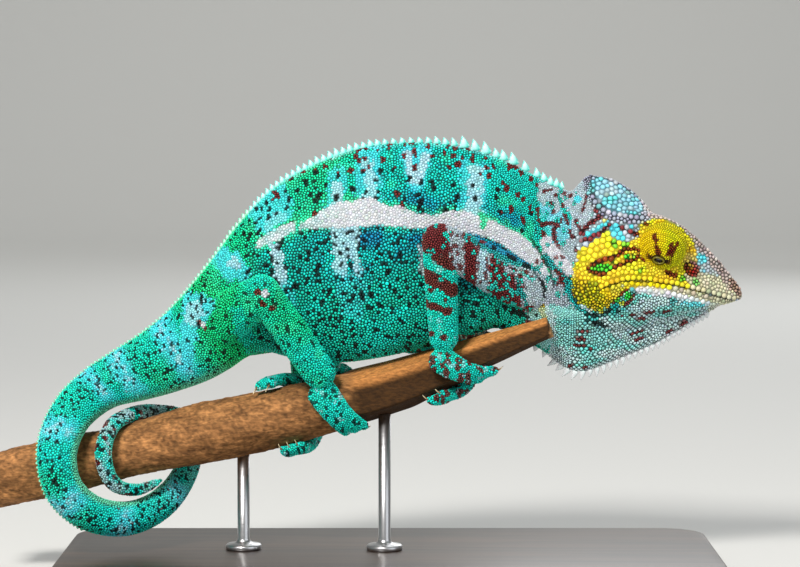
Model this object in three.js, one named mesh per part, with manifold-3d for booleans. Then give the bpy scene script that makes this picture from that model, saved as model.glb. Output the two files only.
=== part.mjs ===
// A life-size museum model of an adult male panther chameleon that grips a cut branch, on a plain display stand.
// Millimetres. +X runs towards the nose, +Y to the animal's left, +Z up, and the origin is under the base's middle.
import * as THREE from "three";
import { mergeVertices } from "three/addons/utils/BufferGeometryUtils.js";
import Module from "manifold-3d";

const wasm = await Module();
wasm.setup();

// ---------------------------------------------------------------- driving dimensions
const GAP = 0.3; // clearance between neighbouring solids
const BASE = { length: 236, width: 104, thick: 8, corner: 16, bevel: 1.2 };
const ROD = { radius: 2.2, flangeRadius: 6.5, flangeThick: 2.2, frontX: -2, rearX: -53 };
const EYE = { x: 97.1, y: 9.7, z: 118.5, turret: 8.7, ball: 5.2, out: 2.4, lid: 1.5 };
const EYE_LOOKS = new THREE.Vector3(-0.24, 0.76, -0.6).normalize(); // for the left eye
const CLAW = { length: 3.4, root: 0.8, tip: 0.28 };

// The branch: x, y, z of its axis and its radius.
const BRANCH = [
  [-144, 1, 32.7, 10],
  [-118, 0, 38.6, 10.4],
  [-95, 0, 43.6, 9.6],
  [-64.8, 0, 50.4, 11.2],
  [-36, 0, 57, 10.6],
  [-15, -0.6, 62.6, 10],
  [3.6, -2, 68, 9.3],
  [20, -3.6, 74.4, 7.7],
  [35.6, -6.2, 80.9, 5.9],
  [57, -10.5, 89.3, 3.8],
];

// The body, from nape to tail base: back line x, z, belly line x, z, half-width, and how low the widest part lies.
const TORSO = [
  [57.3, 140.5, 57.3, 78.6, 10.3, 0.05],
  [51.5, 143.8, 50, 82.6, 11, 0.1],
  [39.6, 149.5, 38.5, 88, 12.8, 0.2],
  [25.2, 153.8, 25.9, 84.4, 14.4, 0.25],
  [9, 155.3, 11.5, 80.8, 15.4, 0.25],
  [-9, 153.5, -3.6, 77.4, 15.6, 0.25],
  [-25.9, 147.7, -18.7, 75.6, 15, 0.25],
  [-41, 139.1, -32.4, 76.6, 14, 0.2],
  [-54, 126.1, -44.6, 79.6, 12.8, 0.1],
  [-64.1, 112.8, -51.4, 77.6, 12, 0],
  [-72, 103.1, -57.6, 73.4, 11.6, -0.05],
  [-81, 93.4, -65.9, 69, 11, -0.05],
  [-90, 86.2, -76.8, 65.2, 10, 0],
  [-100.1, 79.7, -87.4, 62.2, 8.8, 0],
];

// The coiled tail that follows it: x, y, z of its axis and its radius.
const COIL = [
  [-104.7, 1, 66.2, 8.8],
  [-112.6, -5, 59.7, 8],
  [-117, -13, 51.7, 7.5],
  [-118.1, -18.6, 42.7, 7.2],
  [-115.1, -18.8, 31.5, 7],
  [-106.3, -15, 23.1, 6.8],
  [-94.6, -8, 20.2, 6.4],
  [-84, 1, 23.5, 5.8],
  [-76.5, 11, 31.4, 5],
  [-73.2, 16.2, 42.4, 4.4],
  [-76.8, 15, 53.5, 3.9],
  [-85.5, 10.6, 56.3, 3.5],
  [-93.5, 2.6, 56.6, 3.1],
  [-99.5, -8.2, 53.7, 3.1],
  [-102.1, -14.8, 44.4, 3.3],
  [-98.8, -12.8, 33.7, 3],
  [-90.7, -7.2, 30.6, 2.5],
  [-81.6, -3, 33.8, 1.4],
];

// The head's long lines, from nape to nose: x, z and half-width of each.
const HEAD_FROM = 57.6;
const HEAD_TO = 127;
const HEAD_LINES = {
  crown: [[57, 140.6, 0], [61, 139.3, 0], [65, 137.8, 0], [68.4, 141, 0], [71.2, 143.5, 0], [75.6, 143, 0],
    [79.5, 141.9, 0], [85, 139.2, 0], [90, 135, 0], [94, 129.9, 0], [97, 127.7, 0], [105, 123.2, 0],
    [113, 115.9, 0], [120, 109.1, 0], [124, 103.9, 0], [127, 101.3, 0]],
  ridge: [[57, 139.4, 1.8], [65, 136.8, 1.6], [68.4, 140.2, 1.2], [71.2, 142.7, 1.1], [79.5, 141.1, 1.3],
    [85, 138.3, 1.6], [90, 134.2, 2.2], [94, 129.9, 4], [97, 128, 5], [105, 123.6, 5], [113, 116.4, 3.8],
    [120, 109.4, 2.4], [127, 101.3, 1.2]],
  crest: [[57, 131, 6], [63, 130, 6.6], [68, 133, 4.8], [71, 137, 3.6], [73.5, 133.5, 5.8], [77, 130.6, 8.6],
    [84, 129, 10.4], [90, 128.4, 11.2], [97, 128.3, 11.2], [103, 125.9, 10.4], [108, 122.3, 9], [113, 117.6, 7.2],
    [118, 112.9, 5.6], [122.5, 107.4, 4.1], [127, 101.5, 2.4]],
  temple: [[57, 118, 10.4], [66, 121, 10.2], [73, 124, 9.6], [80, 122.5, 11], [88, 120.5, 11.4], [97, 118, 10.8],
    [106, 114, 8.4], [113, 110, 6.4], [119, 106, 4.7], [124, 102.4, 3.2], [127, 100.6, 2]],
  cheek: [[57, 102, 11], [66, 102.5, 13.4], [73, 104, 15.2], [80, 107, 15.4], [88, 108.5, 14.2], [97, 107.5, 12.6],
    [106, 105, 10.4], [113, 102.8, 8.2], [119, 100.6, 6], [123.5, 98.9, 4], [127, 99.8, 1.8]],
  jaw: [[57, 93, 9.4], [66, 95, 12.2], [73, 96.5, 14], [80, 97, 13.4], [88, 97, 12], [97, 96.8, 10.2],
    [106, 96.6, 8], [113, 96.6, 6], [119, 96.8, 4.2], [123.5, 97.4, 2.8], [127, 99.3, 1.2]],
  throat: [[57, 86, 5.6], [66, 84, 6.2], [73, 84, 6.5], [80, 86, 6.3], [88, 88, 5.6], [97, 90.5, 4.8],
    [106, 93, 3.9], [113, 95, 3.1], [119, 96.1, 2.3], [123.5, 97.1, 1.5], [127, 99, 0.7]],
  keel: [[57, 78.6, 0], [61, 74.8, 0], [66, 72.4, 0], [71, 72.5, 0], [77, 74.6, 0], [87, 78.6, 0], [95, 82, 0],
    [104, 87, 0], [113, 92.4, 0], [118, 95.4, 0], [122.5, 97, 0], [125, 98.1, 0], [127, 98.9, 0]],
};
// Where the mouth closes, and where the lower jaw ends and the throat pouch begins: x, z.
const MOUTH = [[64, 97], [70, 99.6], [74.9, 103.2], [79, 105], [85, 106.3], [92.5, 105.8], [100.8, 104.5],
  [109, 102.4], [117.4, 100], [122.5, 98.5], [130, 97.6]];
const JAW_EDGE = [[64, 96], [70, 94.4], [80, 94.6], [97, 94.4], [110, 95], [118, 96.1], [130, 96.9]];

// Spines on the back and under the chin.
const BACK_SPINES = { from: 0.05, to: 9.4, frontPitch: 3.1, rearPitch: 2.25, nape: 1.9, tallest: 3.2, last: 1 };
const CHIN_SPINES = { from: 113.6, to: 58.4, chinPitch: 2.1, rearPitch: 3, chin: 1.2, tallest: 2.5 };
const NECK_SPINES = [0.3, 0.72, 1.1]; // stations of the last ones under the neck

// Legs: where each joint is, and the radii at each, in the plane of the flank and across it.
const LEGS = [
  { name: "foreleg_right", top: [50, -8, 102.6], knee: [17.4, -23.5, 120.6], foot: [19.2, -13.4, 86],
    upper: [8.4, 5.6], bend: [6.7, 5.4], lower: [5.4, 4.2] },
  { name: "foreleg_left", top: [50, 8, 102.6], knee: [26.6, 25.5, 110.6], foot: [28.2, 9.6, 81.8],
    upper: [8.4, 5.6], bend: [6.7, 5.4], lower: [5.2, 4.2] },
  { name: "hindleg_right", top: [-63, -5, 89], knee: [-44.6, -22.5, 102.4], foot: [-25.2, -13.8, 73.6],
    upper: [9.6, 7], bend: [6.8, 5.8], lower: [6.2, 4.8] },
  { name: "hindleg_left", top: [-62, 5, 86], knee: [-31.2, 26.5, 86.8], foot: [-29.8, 15.4, 64.8],
    upper: [9.4, 7], bend: [7.6, 6.2], lower: [6, 4.8] },
];
// Each foot's two bundles of fused toes: x along the branch and degrees round it (0 on top, 90 on the right side)
// at the palm and at the toes' ends, and the half-width and half-thickness at each.
const TOES = [
  { name: "forefoot_right_outer", leg: 0, count: 2, from: [18.6, 50], to: [33.4, 164], wide: [5.7, 3.6], thick: [2.8, 1.9] },
  { name: "forefoot_right_inner", leg: 0, count: 3, from: [20, 30], to: [39, -96], wide: [4.2, 3.4], thick: [2.6, 1.9] },
  { name: "forefoot_left_outer", leg: 1, count: 2, from: [28, -100], to: [13.4, -228], wide: [5, 3.1], thick: [2.8, 1.9] },
  { name: "forefoot_left_inner", leg: 1, count: 3, from: [27, -60], to: [12, -12], wide: [4.2, 3.4], thick: [2.6, 1.9] },
  { name: "hindfoot_right_outer", leg: 2, count: 3, from: [-23.6, 50], to: [-14.2, 152], wide: [6.2, 4.6], thick: [3, 2] },
  { name: "hindfoot_right_inner", leg: 2, count: 2, from: [-22.5, 30], to: [-11, -100], wide: [4.6, 3.2], thick: [2.9, 2] },
  { name: "hindfoot_left_outer", leg: 3, count: 3, from: [-29, -100], to: [-38.5, -218], wide: [5.6, 3.9], thick: [3, 2] },
  { name: "hindfoot_left_inner", leg: 3, count: 2, from: [-29, -64], to: [-43, 24], wide: [4.6, 3], thick: [2.9, 2] },
];

// ---------------------------------------------------------------- finishes
const COLOURS = {
  skin: { color: 0x1fae8f, roughness: 0.55 },
  legs: { color: 0x2fb89a, roughness: 0.55 },
  headSkin: { color: 0xd8c93a, roughness: 0.5 },
  throatSkin: { color: 0xb9d4d2, roughness: 0.55 },
  eye: { color: 0x1a120c, roughness: 0.1 },
  claw: { color: 0xcbb68c, roughness: 0.4 },
  bark: { color: 0x9a6b42, roughness: 0.85 },
  steel: { color: 0xb9bcc0, roughness: 0.3, metalness: 1 },
  baseBoard: { color: 0x2b2622, roughness: 0.45 },
};
const finishes = Object.fromEntries(
  Object.entries(COLOURS).map(([name, look]) => [name, new THREE.MeshStandardMaterial(look)]),
);

// ---------------------------------------------------------------- tools
// A closed manifold-3d solid of a three.js geometry, with its faces turned outwards.
function solid(geometry) {
  const bare = new THREE.BufferGeometry();
  bare.setAttribute("position", geometry.getAttribute("position"));
  bare.setIndex(geometry.getIndex());
  const merged = mergeVertices(bare, 1e-4);
  const vertProperties = new Float32Array(merged.getAttribute("position").array);
  const triVerts = new Uint32Array(merged.getIndex().array);
  const make = () => new wasm.Manifold(new wasm.Mesh({ numProp: 3, vertProperties, triVerts }));
  let made = make();
  if (made.volume() < 0) {
    for (let i = 0; i < triVerts.length; i += 3) {
      [triVerts[i + 1], triVerts[i + 2]] = [triVerts[i + 2], triVerts[i + 1]];
    }
    made = make();
  }
  return made;
}

// The three.js geometry of a manifold-3d solid.
function geometryOf(made) {
  const mesh = made.getMesh();
  const geometry = new THREE.BufferGeometry();
  geometry.setAttribute("position", new THREE.BufferAttribute(mesh.vertProperties, 3));
  geometry.setIndex(new THREE.BufferAttribute(mesh.triVerts, 1));
  geometry.computeVertexNormals();
  return geometry;
}

// The largest body of a solid that a cut may have left with crumbs.
function largest(made) {
  return made.decompose().reduce((a, b) => (b.volume() > a.volume() ? b : a));
}

// Smooth values between a table's rows: uniform Catmull-Rom in every column, at row number k.
function row(rows, k) {
  const last = rows.length - 1;
  const i = Math.max(0, Math.min(Math.floor(k), last - 1));
  const f = k - i;
  const [a, b, c, d] = [i - 1, i, i + 1, i + 2].map((n) => rows[Math.max(0, Math.min(n, last))]);
  return b.map((p, n) => {
    const in1 = (c[n] - a[n]) / 2;
    const in2 = (d[n] - p) / 2;
    const rise = c[n] - p;
    return p + f * (in1 + f * (3 * rise - 2 * in1 - in2 + f * (in1 + in2 - 2 * rise)));
  });
}

// The same table read at a value of its first column.
function rowAt(rows, x) {
  let low = 0;
  let high = rows.length - 1;
  for (let step = 0; step < 24; step++) {
    const middle = (low + high) / 2;
    if (row(rows, middle)[0] < x) low = middle;
    else high = middle;
  }
  return row(rows, (low + high) / 2);
}

const ease = (t) => t * t * (3 - 2 * t);
const mix = (a, b, t) => a + (b - a) * t;
const vec = (p) => new THREE.Vector3(...p);

// A closed tube whose surface is place(t, angle, reach): t runs from 0 to 1, and reach is 0 at the two end points.
function loft(around, along, place, roundEnds = false) {
  const rows = roundEnds ? along : along + 2;
  const ball = new THREE.SphereGeometry(1, around, rows);
  const position = ball.getAttribute("position");
  const uv = ball.getAttribute("uv");
  for (let i = 0; i < position.count; i++) {
    const n = Math.round((1 - uv.getY(i)) * rows);
    const turn = (Math.round(uv.getX(i) * around) % around) / around;
    const isEnd = n === 0 || n === rows;
    const t = roundEnds ? n / rows : Math.max(0, Math.min((n - 1) / along, 1));
    const p = place(t, turn * 2 * Math.PI, isEnd ? 0 : 1);
    position.setXYZ(i, p.x, p.y, p.z);
  }
  return solid(ball);
}

// ---------------------------------------------------------------- the body and tail
// Back line, belly line, sideways place and half-width for every station from nape to tail tip.
const SPINE = [
  ...TORSO.map(([bx, bz, vx, vz, half, low], k) => [bx, bz, vx, vz, k === TORSO.length - 1 ? 1.5 : 0, half, low]),
  ...COIL.map(([x, y, z, r], k) => {
    const before = COIL[Math.max(k - 1, 0)];
    const after = COIL[Math.min(k + 1, COIL.length - 1)];
    const run = new THREE.Vector2(after[0] - before[0], after[2] - before[2]).normalize();
    return [x + run.y * r, z - run.x * r, x - run.y * r, z + run.x * r, y, 0.95 * r, 0];
  }),
];

// A point of the body's surface at station k, angle 0 on the back and 90 degrees on the left.
function bodyPoint(k, angle, reach, grow = 0) {
  const [bx, bz, vx, vz, y, half, low] = row(SPINE, k);
  const ahead = row(SPINE, Math.min(k + 0.05, SPINE.length - 1));
  const behind = row(SPINE, Math.max(k - 0.05, 0));
  const middle = (r) => new THREE.Vector3((r[0] + r[2]) / 2, r[4], (r[1] + r[3]) / 2);
  const centre = middle([bx, bz, vx, vz, y]);
  const up = new THREE.Vector3((bx - vx) / 2, 0, (bz - vz) / 2);
  const forward = middle(behind).sub(middle(ahead)).normalize();
  const left = up.clone().normalize().cross(forward).normalize();
  const c = Math.cos(angle);
  const pinch = 1 - 0.3 * Math.max(0, c) ** 4;
  const sideways = (half + grow) * Math.sin(angle) * (1 - low * c) * pinch;
  const upwards = c * (1 + grow / up.length());
  return centre.addScaledVector(up, upwards * reach).addScaledVector(left, sideways * reach);
}

// One length of the body, from station a to b, with half the gap taken off each end.
function bodyLength(a, b, around, along, grow = 0) {
  const centre = (k) => bodyPoint(k, 0, 0);
  const trim = (k) => (GAP / 2) * (0.1 / centre(k - 0.05).distanceTo(centre(k + 0.05)));
  const from = a === 0 ? a : a + trim(a);
  const to = b === SPINE.length - 1 ? b : b - trim(b);
  return loft(around, along, (t, angle, reach) => {
    const k = mix(from, to, t);
    const tipEnd = b === SPINE.length - 1 ? Math.sqrt(1 - 0.94 * ease(Math.max(0, (t - 0.8) / 0.2))) : 1;
    return bodyPoint(k, angle, reach * tipEnd, grow);
  });
}

// A cone that stands at a point, leans along a direction and is thin across the body.
function spine(foot, direction, along, height, radius) {
  const cone = new THREE.ConeGeometry(radius, height + 1, 4);
  cone.translate(0, (height + 1) / 2 - 1, 0);
  cone.scale(1, 1, 0.62);
  const up = direction.clone().normalize();
  const side = new THREE.Vector3().crossVectors(along, up).normalize();
  const front = new THREE.Vector3().crossVectors(up, side);
  cone.applyMatrix4(new THREE.Matrix4().makeBasis(front, up, side));
  cone.translate(foot.x, foot.y, foot.z);
  return solid(cone);
}

// The spines of the back, as { station, made }.
function backSpines() {
  const { from, to, frontPitch, rearPitch, nape, tallest, last } = BACK_SPINES;
  const made = [];
  let k = from;
  while (k < to) {
    const t = (k - from) / (to - from);
    const pitch = mix(frontPitch, rearPitch, Math.min(1, 2 * t));
    const height = t < 0.12 ? mix(nape, tallest, t / 0.12) : mix(tallest, last, (t - 0.12) / 0.88);
    const foot = bodyPoint(k, 0, 1);
    const ahead = bodyPoint(k + 0.05, 0, 1);
    const run = ahead.clone().sub(foot);
    const up = foot.clone().sub(bodyPoint(k, 0, 0)).normalize();
    const lean = run.clone().normalize().multiplyScalar(0.28);
    made.push({ station: k, made: spine(foot, up.add(lean), run, height, pitch * 0.52) });
    k += (pitch * 0.05) / run.length();
  }
  return made;
}

// The last spines under the neck, which carry on from the chin's.
function neckSpines() {
  return NECK_SPINES.map((k) => {
    const foot = bodyPoint(k, Math.PI, 1);
    const run = bodyPoint(k + 0.05, Math.PI, 1).sub(foot);
    const down = foot.clone().sub(bodyPoint(k, 0, 0)).normalize();
    const made = spine(foot, down.addScaledVector(run.clone().normalize(), 0.25), run, mix(2.3, 1.4, k), 1.3);
    return { station: k, made };
  });
}

// ---------------------------------------------------------------- the head
// A point of the head's surface at x; the turn runs once round the section, from the crown down the left side.
function headPoint(x, angle, reach) {
  const half = Object.values(HEAD_LINES).map((line) => {
    const [, z, y] = rowAt(line, x);
    return new THREE.Vector3(x, y, z);
  });
  const mirrored = half.slice(1, -1).reverse().map((p) => new THREE.Vector3(p.x, -p.y, p.z));
  const section = new THREE.CatmullRomCurve3([...half, ...mirrored], true, "centripetal");
  const middle = new THREE.Vector3(x, 0, mix(half[0].z, half[half.length - 1].z, 0.45));
  return reach === 0 ? middle : section.getPoint(angle / (2 * Math.PI));
}

function wholeHead() {
  const memo = new Map();
  return loft(20, 20, (t, angle, reach) => {
    const x = mix(HEAD_FROM, HEAD_TO, 1 - (1 - t) ** 1.25);
    const key = [x, angle, reach].join();
    if (!memo.has(key)) memo.set(key, headPoint(x, angle, reach));
    return memo.get(key);
  });
}

// The space between two lines of x, z points, right through the head.
function slabBetween(upper, lower, upperShift, lowerShift) {
  const outline = [
    ...upper.map(([x, z]) => new THREE.Vector2(x, z + upperShift)),
    ...lower.map(([x, z]) => new THREE.Vector2(x, z + lowerShift)).reverse(),
  ];
  const depth = 60;
  const slab = new THREE.ExtrudeGeometry(new THREE.Shape(outline), { depth, bevelEnabled: false });
  slab.rotateX(Math.PI / 2);
  slab.translate(0, depth / 2, 0);
  return solid(slab);
}

function chinSpines() {
  const { from, to, chinPitch, rearPitch, chin, tallest } = CHIN_SPINES;
  const made = [];
  let x = from;
  while (x > to) {
    const t = (from - x) / (from - to);
    const pitch = mix(chinPitch, rearPitch, t);
    const height = mix(chin, tallest, Math.min(1, 1.25 * t));
    const foot = new THREE.Vector3(x, 0, rowAt(HEAD_LINES.keel, x)[1]);
    const back = new THREE.Vector3(x - 0.5, 0, rowAt(HEAD_LINES.keel, x - 0.5)[1]);
    const run = back.clone().sub(foot);
    const down = new THREE.Vector3(run.z, 0, -run.x).normalize();
    if (down.z > 0) down.negate();
    made.push(spine(foot, down.addScaledVector(run.clone().normalize(), 0.25), run, height, pitch * 0.45));
    x -= (pitch * 0.5) / run.length();
  }
  return made;
}

const ballAt = (centre, radius, around, along) => {
  const ball = new THREE.SphereGeometry(radius, around, along);
  ball.translate(centre.x, centre.y, centre.z);
  return solid(ball);
};

// The eye turret and eyeball of one side (1 left, -1 right), with the head's room for the turret.
function eyeSet(side) {
  const centre = new THREE.Vector3(EYE.x, side * EYE.y, EYE.z);
  const looks = new THREE.Vector3(EYE_LOOKS.x, side * EYE_LOOKS.y, EYE_LOOKS.z);
  const ballCentre = centre.clone().addScaledVector(looks, EYE.out);
  const slit = new THREE.CylinderGeometry(EYE.lid, EYE.lid, EYE.turret, 10);
  slit.scale(1.25, 1, 0.75);
  slit.applyQuaternion(new THREE.Quaternion().setFromUnitVectors(new THREE.Vector3(0, 1, 0), looks));
  slit.translate(...centre.clone().addScaledVector(looks, EYE.turret * 0.8).toArray());
  return {
    socket: ballAt(centre, EYE.turret + GAP, 14, 8),
    turret: ballAt(centre, EYE.turret, 13, 8).subtract(ballAt(ballCentre, EYE.ball + GAP, 10, 6)).subtract(solid(slit)),
    ball: ballAt(ballCentre, EYE.ball, 10, 6),
  };
}

// ---------------------------------------------------------------- the branch and what grips it
// A point beside the branch at x, at an angle round it (0 on top, 90 degrees on the right) and a distance from its axis.
function branchPoint(x, degrees, distance) {
  const [cx, cy, cz] = rowAt(BRANCH, x);
  const [before, after] = [rowAt(BRANCH, x - 0.5), rowAt(BRANCH, x + 0.5)].map((r) => vec(r.slice(0, 3)));
  const run = after.sub(before).normalize();
  const right = new THREE.Vector3(0, -1, 0).addScaledVector(run, run.y).normalize();
  const up = new THREE.Vector3().crossVectors(run, right).negate();
  const angle = THREE.MathUtils.degToRad(degrees);
  return new THREE.Vector3(cx, cy, cz)
    .addScaledVector(up, Math.cos(angle) * distance)
    .addScaledVector(right, Math.sin(angle) * distance);
}

const branchRadius = (x) => rowAt(BRANCH, x)[3];

// The branch's surface swells and hollows a little, and its whittled front end has flat sides.
function branchSolid(grow, along, around) {
  const from = BRANCH[0][0];
  const to = BRANCH[BRANCH.length - 1][0];
  return loft(around, along, (t, angle, reach) => {
    const x = mix(from, to, t);
    const degrees = THREE.MathUtils.radToDeg(angle);
    const facet = Math.PI / 5;
    const flat = Math.cos(facet) / Math.cos(((angle + 0.35) % (2 * facet)) - facet);
    const whittled = ease(Math.max(0, Math.min((x + 18) / 8, 1)));
    const knobbly = 1 + 0.03 * Math.sin(3 * angle + x / 17) + 0.02 * Math.sin(5 * angle - x / 9);
    const radius = branchRadius(x) * mix(knobbly, flat * 1.09, whittled);
    return branchPoint(x, degrees, (radius + grow) * reach);
  });
}

// A limb's length between two points with rounded ends: radii are [in the flank's plane, across it] at start and end.
function limb(from, to, start, end, grow = 0, bulge = 0.06) {
  const a = vec(from);
  const b = vec(to);
  const run = b.clone().sub(a).normalize();
  const flat = new THREE.Vector3(0, 1, 0).addScaledVector(run, -run.y).normalize();
  const inPlane = new THREE.Vector3().crossVectors(run, flat);
  const length = a.distanceTo(b);
  return loft(10, 8, (t, angle, reach) => {
    const spread = (1 - Math.cos(Math.PI * t)) / 2;
    const along = mix(-start[0], length + end[0], spread);
    const s = Math.max(0, Math.min(along / length, 1));
    const past = Math.max(-along / start[0], (along - length) / end[0], 0);
    const round = reach * Math.sqrt(Math.max(0, 1 - past * past));
    const swell = 1 + bulge * Math.sin(Math.PI * s);
    const wide = (mix(start[0], end[0], s) * swell + grow) * round;
    const thick = (mix(start[1], end[1], s) * swell + grow) * round;
    return a.clone()
      .addScaledVector(run, along + (along < 0 ? -grow : grow))
      .addScaledVector(inPlane, Math.cos(angle) * wide)
      .addScaledVector(flat, Math.sin(angle) * thick);
  }, true);
}

// The axis of a bundle of fused toes, which leaves the palm and lies round the branch.
function toesAxis(bundle, t, aside = 0) {
  const x = mix(bundle.from[0], bundle.to[0], t) + aside;
  const degrees = mix(bundle.from[1], bundle.to[1], t);
  const lift = mix(bundle.thick[0], bundle.thick[1], Math.min(1, 1.4 * t));
  return branchPoint(x, degrees, branchRadius(x) * 1.05 + lift);
}

// A thin tube along an axis with a radius for each t.
function tube(axis, radius) {
  return loft(4, 2, (t, angle, reach) => {
    const centre = axis(t);
    const run = axis(Math.min(t + 0.02, 1)).sub(axis(Math.max(t - 0.02, 0))).normalize();
    const across = new THREE.Vector3(1, 0, 0).addScaledVector(run, -run.x).normalize();
    const out = new THREE.Vector3().crossVectors(run, across);
    const r = radius(t) * reach;
    return centre.addScaledVector(across, Math.cos(angle) * r).addScaledVector(out, Math.sin(angle) * r);
  });
}

// A bundle of fused toes: a mitten that narrows towards the toes' ends.
function toeBundle(bundle, grow = 0) {
  return loft(8, 7, (t, angle, reach) => {
    const spread = (1 - Math.cos(Math.PI * t)) / 2;
    const centre = toesAxis(bundle, spread);
    const run = toesAxis(bundle, Math.min(spread + 0.02, 1)).sub(toesAxis(bundle, Math.max(spread - 0.02, 0)));
    const [cx, cy, cz] = rowAt(BRANCH, centre.x);
    const out = centre.clone().sub(new THREE.Vector3(cx, cy, cz)).normalize();
    const across = new THREE.Vector3().crossVectors(run, out).normalize();
    const past = Math.max(1 - spread / 0.16, (spread - 0.86) / 0.14, 0);
    const round = reach * Math.sqrt(Math.max(0, 1 - past * past));
    const wide = (mix(bundle.wide[0], bundle.wide[1], spread) + grow) * round;
    const thick = (mix(bundle.thick[0], bundle.thick[1], spread) + grow) * round;
    return centre.addScaledVector(across, Math.cos(angle) * wide).addScaledVector(out, Math.sin(angle) * thick);
  }, true);
}

// A claw leaves its toe's end, beside its neighbours, and hooks towards the branch.
function claw(bundle, n) {
  const aside = (n / (bundle.count - 1) - 0.5) * 1.5 * bundle.wide[1];
  const end = toesAxis(bundle, 0.95, aside);
  const run = end.clone().sub(toesAxis(bundle, 0.85, aside)).normalize();
  const [cx, cy, cz] = rowAt(BRANCH, end.x);
  const inwards = new THREE.Vector3(cx, cy, cz).sub(end).normalize();
  const path = (t) => end.clone()
    .addScaledVector(run, CLAW.length * t)
    .addScaledVector(inwards, CLAW.length * (0.5 * t * t - 0.15 * t));
  return tube(path, (t) => mix(CLAW.root, CLAW.tip, t));
}

// ---------------------------------------------------------------- putting it together
const model = new THREE.Group();
function add(name, made, finish) {
  const mesh = new THREE.Mesh(geometryOf(largest(made)), finishes[finish]);
  mesh.name = name;
  model.add(mesh);
}

// The stand.
function baseBoard() {
  const { length, width, thick, corner, bevel } = BASE;
  const x = length / 2 - bevel;
  const y = width / 2 - bevel;
  const outline = new THREE.Shape();
  outline.moveTo(-x + corner, -y).lineTo(x - corner, -y).absarc(x - corner, -y + corner, corner, -Math.PI / 2, 0);
  outline.lineTo(x, y - corner).absarc(x - corner, y - corner, corner, 0, Math.PI / 2);
  outline.lineTo(-x + corner, y).absarc(-x + corner, y - corner, corner, Math.PI / 2, Math.PI);
  outline.lineTo(-x, -y + corner).absarc(-x + corner, -y + corner, corner, Math.PI, Math.PI * 1.5);
  const board = new THREE.ExtrudeGeometry(outline, {
    depth: thick - 2 * bevel, bevelThickness: bevel, bevelSize: bevel, bevelSegments: 1, curveSegments: 4,
  });
  board.translate(0, 0, bevel);
  return solid(board);
}

const branchCut = branchSolid(GAP, 24, 11);
function rod(x) {
  const foot = BASE.thick + GAP;
  const { radius, flangeRadius, flangeThick } = ROD;
  const [, y, z] = rowAt(BRANCH, x);
  const profile = [[0, foot], [flangeRadius, foot], [flangeRadius, foot + flangeThick * 0.7],
    [flangeRadius - 0.8, foot + flangeThick], [radius, foot + flangeThick], [radius, z], [0, z]];
  const turned = new THREE.LatheGeometry(profile.map(([r, h]) => new THREE.Vector2(r, h)), 14);
  turned.rotateX(Math.PI / 2);
  turned.translate(x, y, 0);
  return solid(turned).subtract(branchCut);
}
add("stand_base", baseBoard(), "baseBoard");
add("stand_rod_front", rod(ROD.frontX), "steel");
add("stand_rod_rear", rod(ROD.rearX), "steel");
add("perch", branchSolid(0, 24, 11), "bark");

// The head in three pieces, with the eyes set in it.
const skull = wholeHead();
const eyes = { left: eyeSet(1), right: eyeSet(-1) };
const below = [[50, 40], [140, 40]];
const jawRear = [50, 92];
const throatPart = slabBetween([jawRear, ...JAW_EDGE], below, -GAP / 2, 0);
const jawPart = slabBetween(MOUTH, JAW_EDGE, -GAP / 2, GAP / 2);
const underHead = slabBetween([jawRear, ...MOUTH], below, GAP / 2, 0);
const throat = chinSpines().reduce((a, b) => a.add(b), skull.intersect(throatPart));
add("head", skull.subtract(underHead).subtract(eyes.left.socket).subtract(eyes.right.socket), "headSkin");
add("jaw", skull.intersect(jawPart), "headSkin");
add("throat", throat.subtract(branchCut), "throatSkin");
for (const [side, set] of Object.entries(eyes)) {
  add("eye_turret_" + side, set.turret, "headSkin");
  add("eyeball_" + side, set.ball, "eye");
}

// The neck, trunk and hips, with the crest of the back on them, and the tail in seven lengths.
const TRUNK = { neck: [0, 1.5], trunk_front: [1.5, 4.8], trunk_rear: [4.8, 8.2], hips: [8.2, 12] };
const TAIL = [12, 15, 18, 21, 23.8, 26.2, 28.8, SPINE.length - 1];
const spines = [...backSpines(), ...neckSpines()];
for (const [name, [from, to]] of Object.entries(TRUNK)) {
  const along = Math.ceil((to - from) * 1.6) + 1;
  const ownSpines = spines.filter(({ station }) => station > from + 0.12 && station < to - 0.12);
  const made = ownSpines.reduce((all, s) => all.add(s.made), bodyLength(from, to, 16, along));
  add(name, made.subtract(branchCut), "skin");
}
TAIL.slice(1).forEach((to, n) => {
  add("tail_" + (n + 1), bodyLength(TAIL[n], to, 10, 5).subtract(branchCut), "skin");
});

// The legs, cut back from the body, and the toes, cut back from the legs and the branch.
const bodyCut = bodyLength(0, 13, 24, 30, GAP);
const taken = [bodyCut, branchCut];
LEGS.forEach((leg, n) => {
  const upper = (grow) => limb(leg.top, leg.knee, leg.upper, leg.bend, grow);
  const lower = (grow) => limb(leg.knee, leg.foot, leg.bend.map((r) => r * 0.9), leg.lower, grow, 0.02);
  add(leg.name + "_upper", upper(0).subtract(bodyCut), "legs");
  add(leg.name + "_lower", lower(0).subtract(bodyCut).subtract(upper(GAP)).subtract(branchCut), "legs");
  taken.push(upper(GAP), lower(GAP));
  for (const bundle of TOES.filter((b) => b.leg === n)) {
    add(bundle.name, taken.reduce((toes, other) => toes.subtract(other), toeBundle(bundle)), "legs");
    for (let c = 0; c < bundle.count; c++) {
      const free = claw(bundle, c).subtract(branchCut).subtract(bodyCut);
      const name = "claw_" + bundle.name.replace("foot", "") + "_" + (c + 1);
      add(name, TOES.reduce((made, toes) => made.subtract(toeBundle(toes, GAP)), free), "claw");
    }
    taken.push(toeBundle(bundle, GAP));
  }
});

export default model;
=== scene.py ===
"""A museum model of a male panther chameleon that grips a cut branch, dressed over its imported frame."""

import logging
import math
from collections.abc import Callable
from dataclasses import dataclass, field, fields
from enum import Enum
from functools import cache

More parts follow.
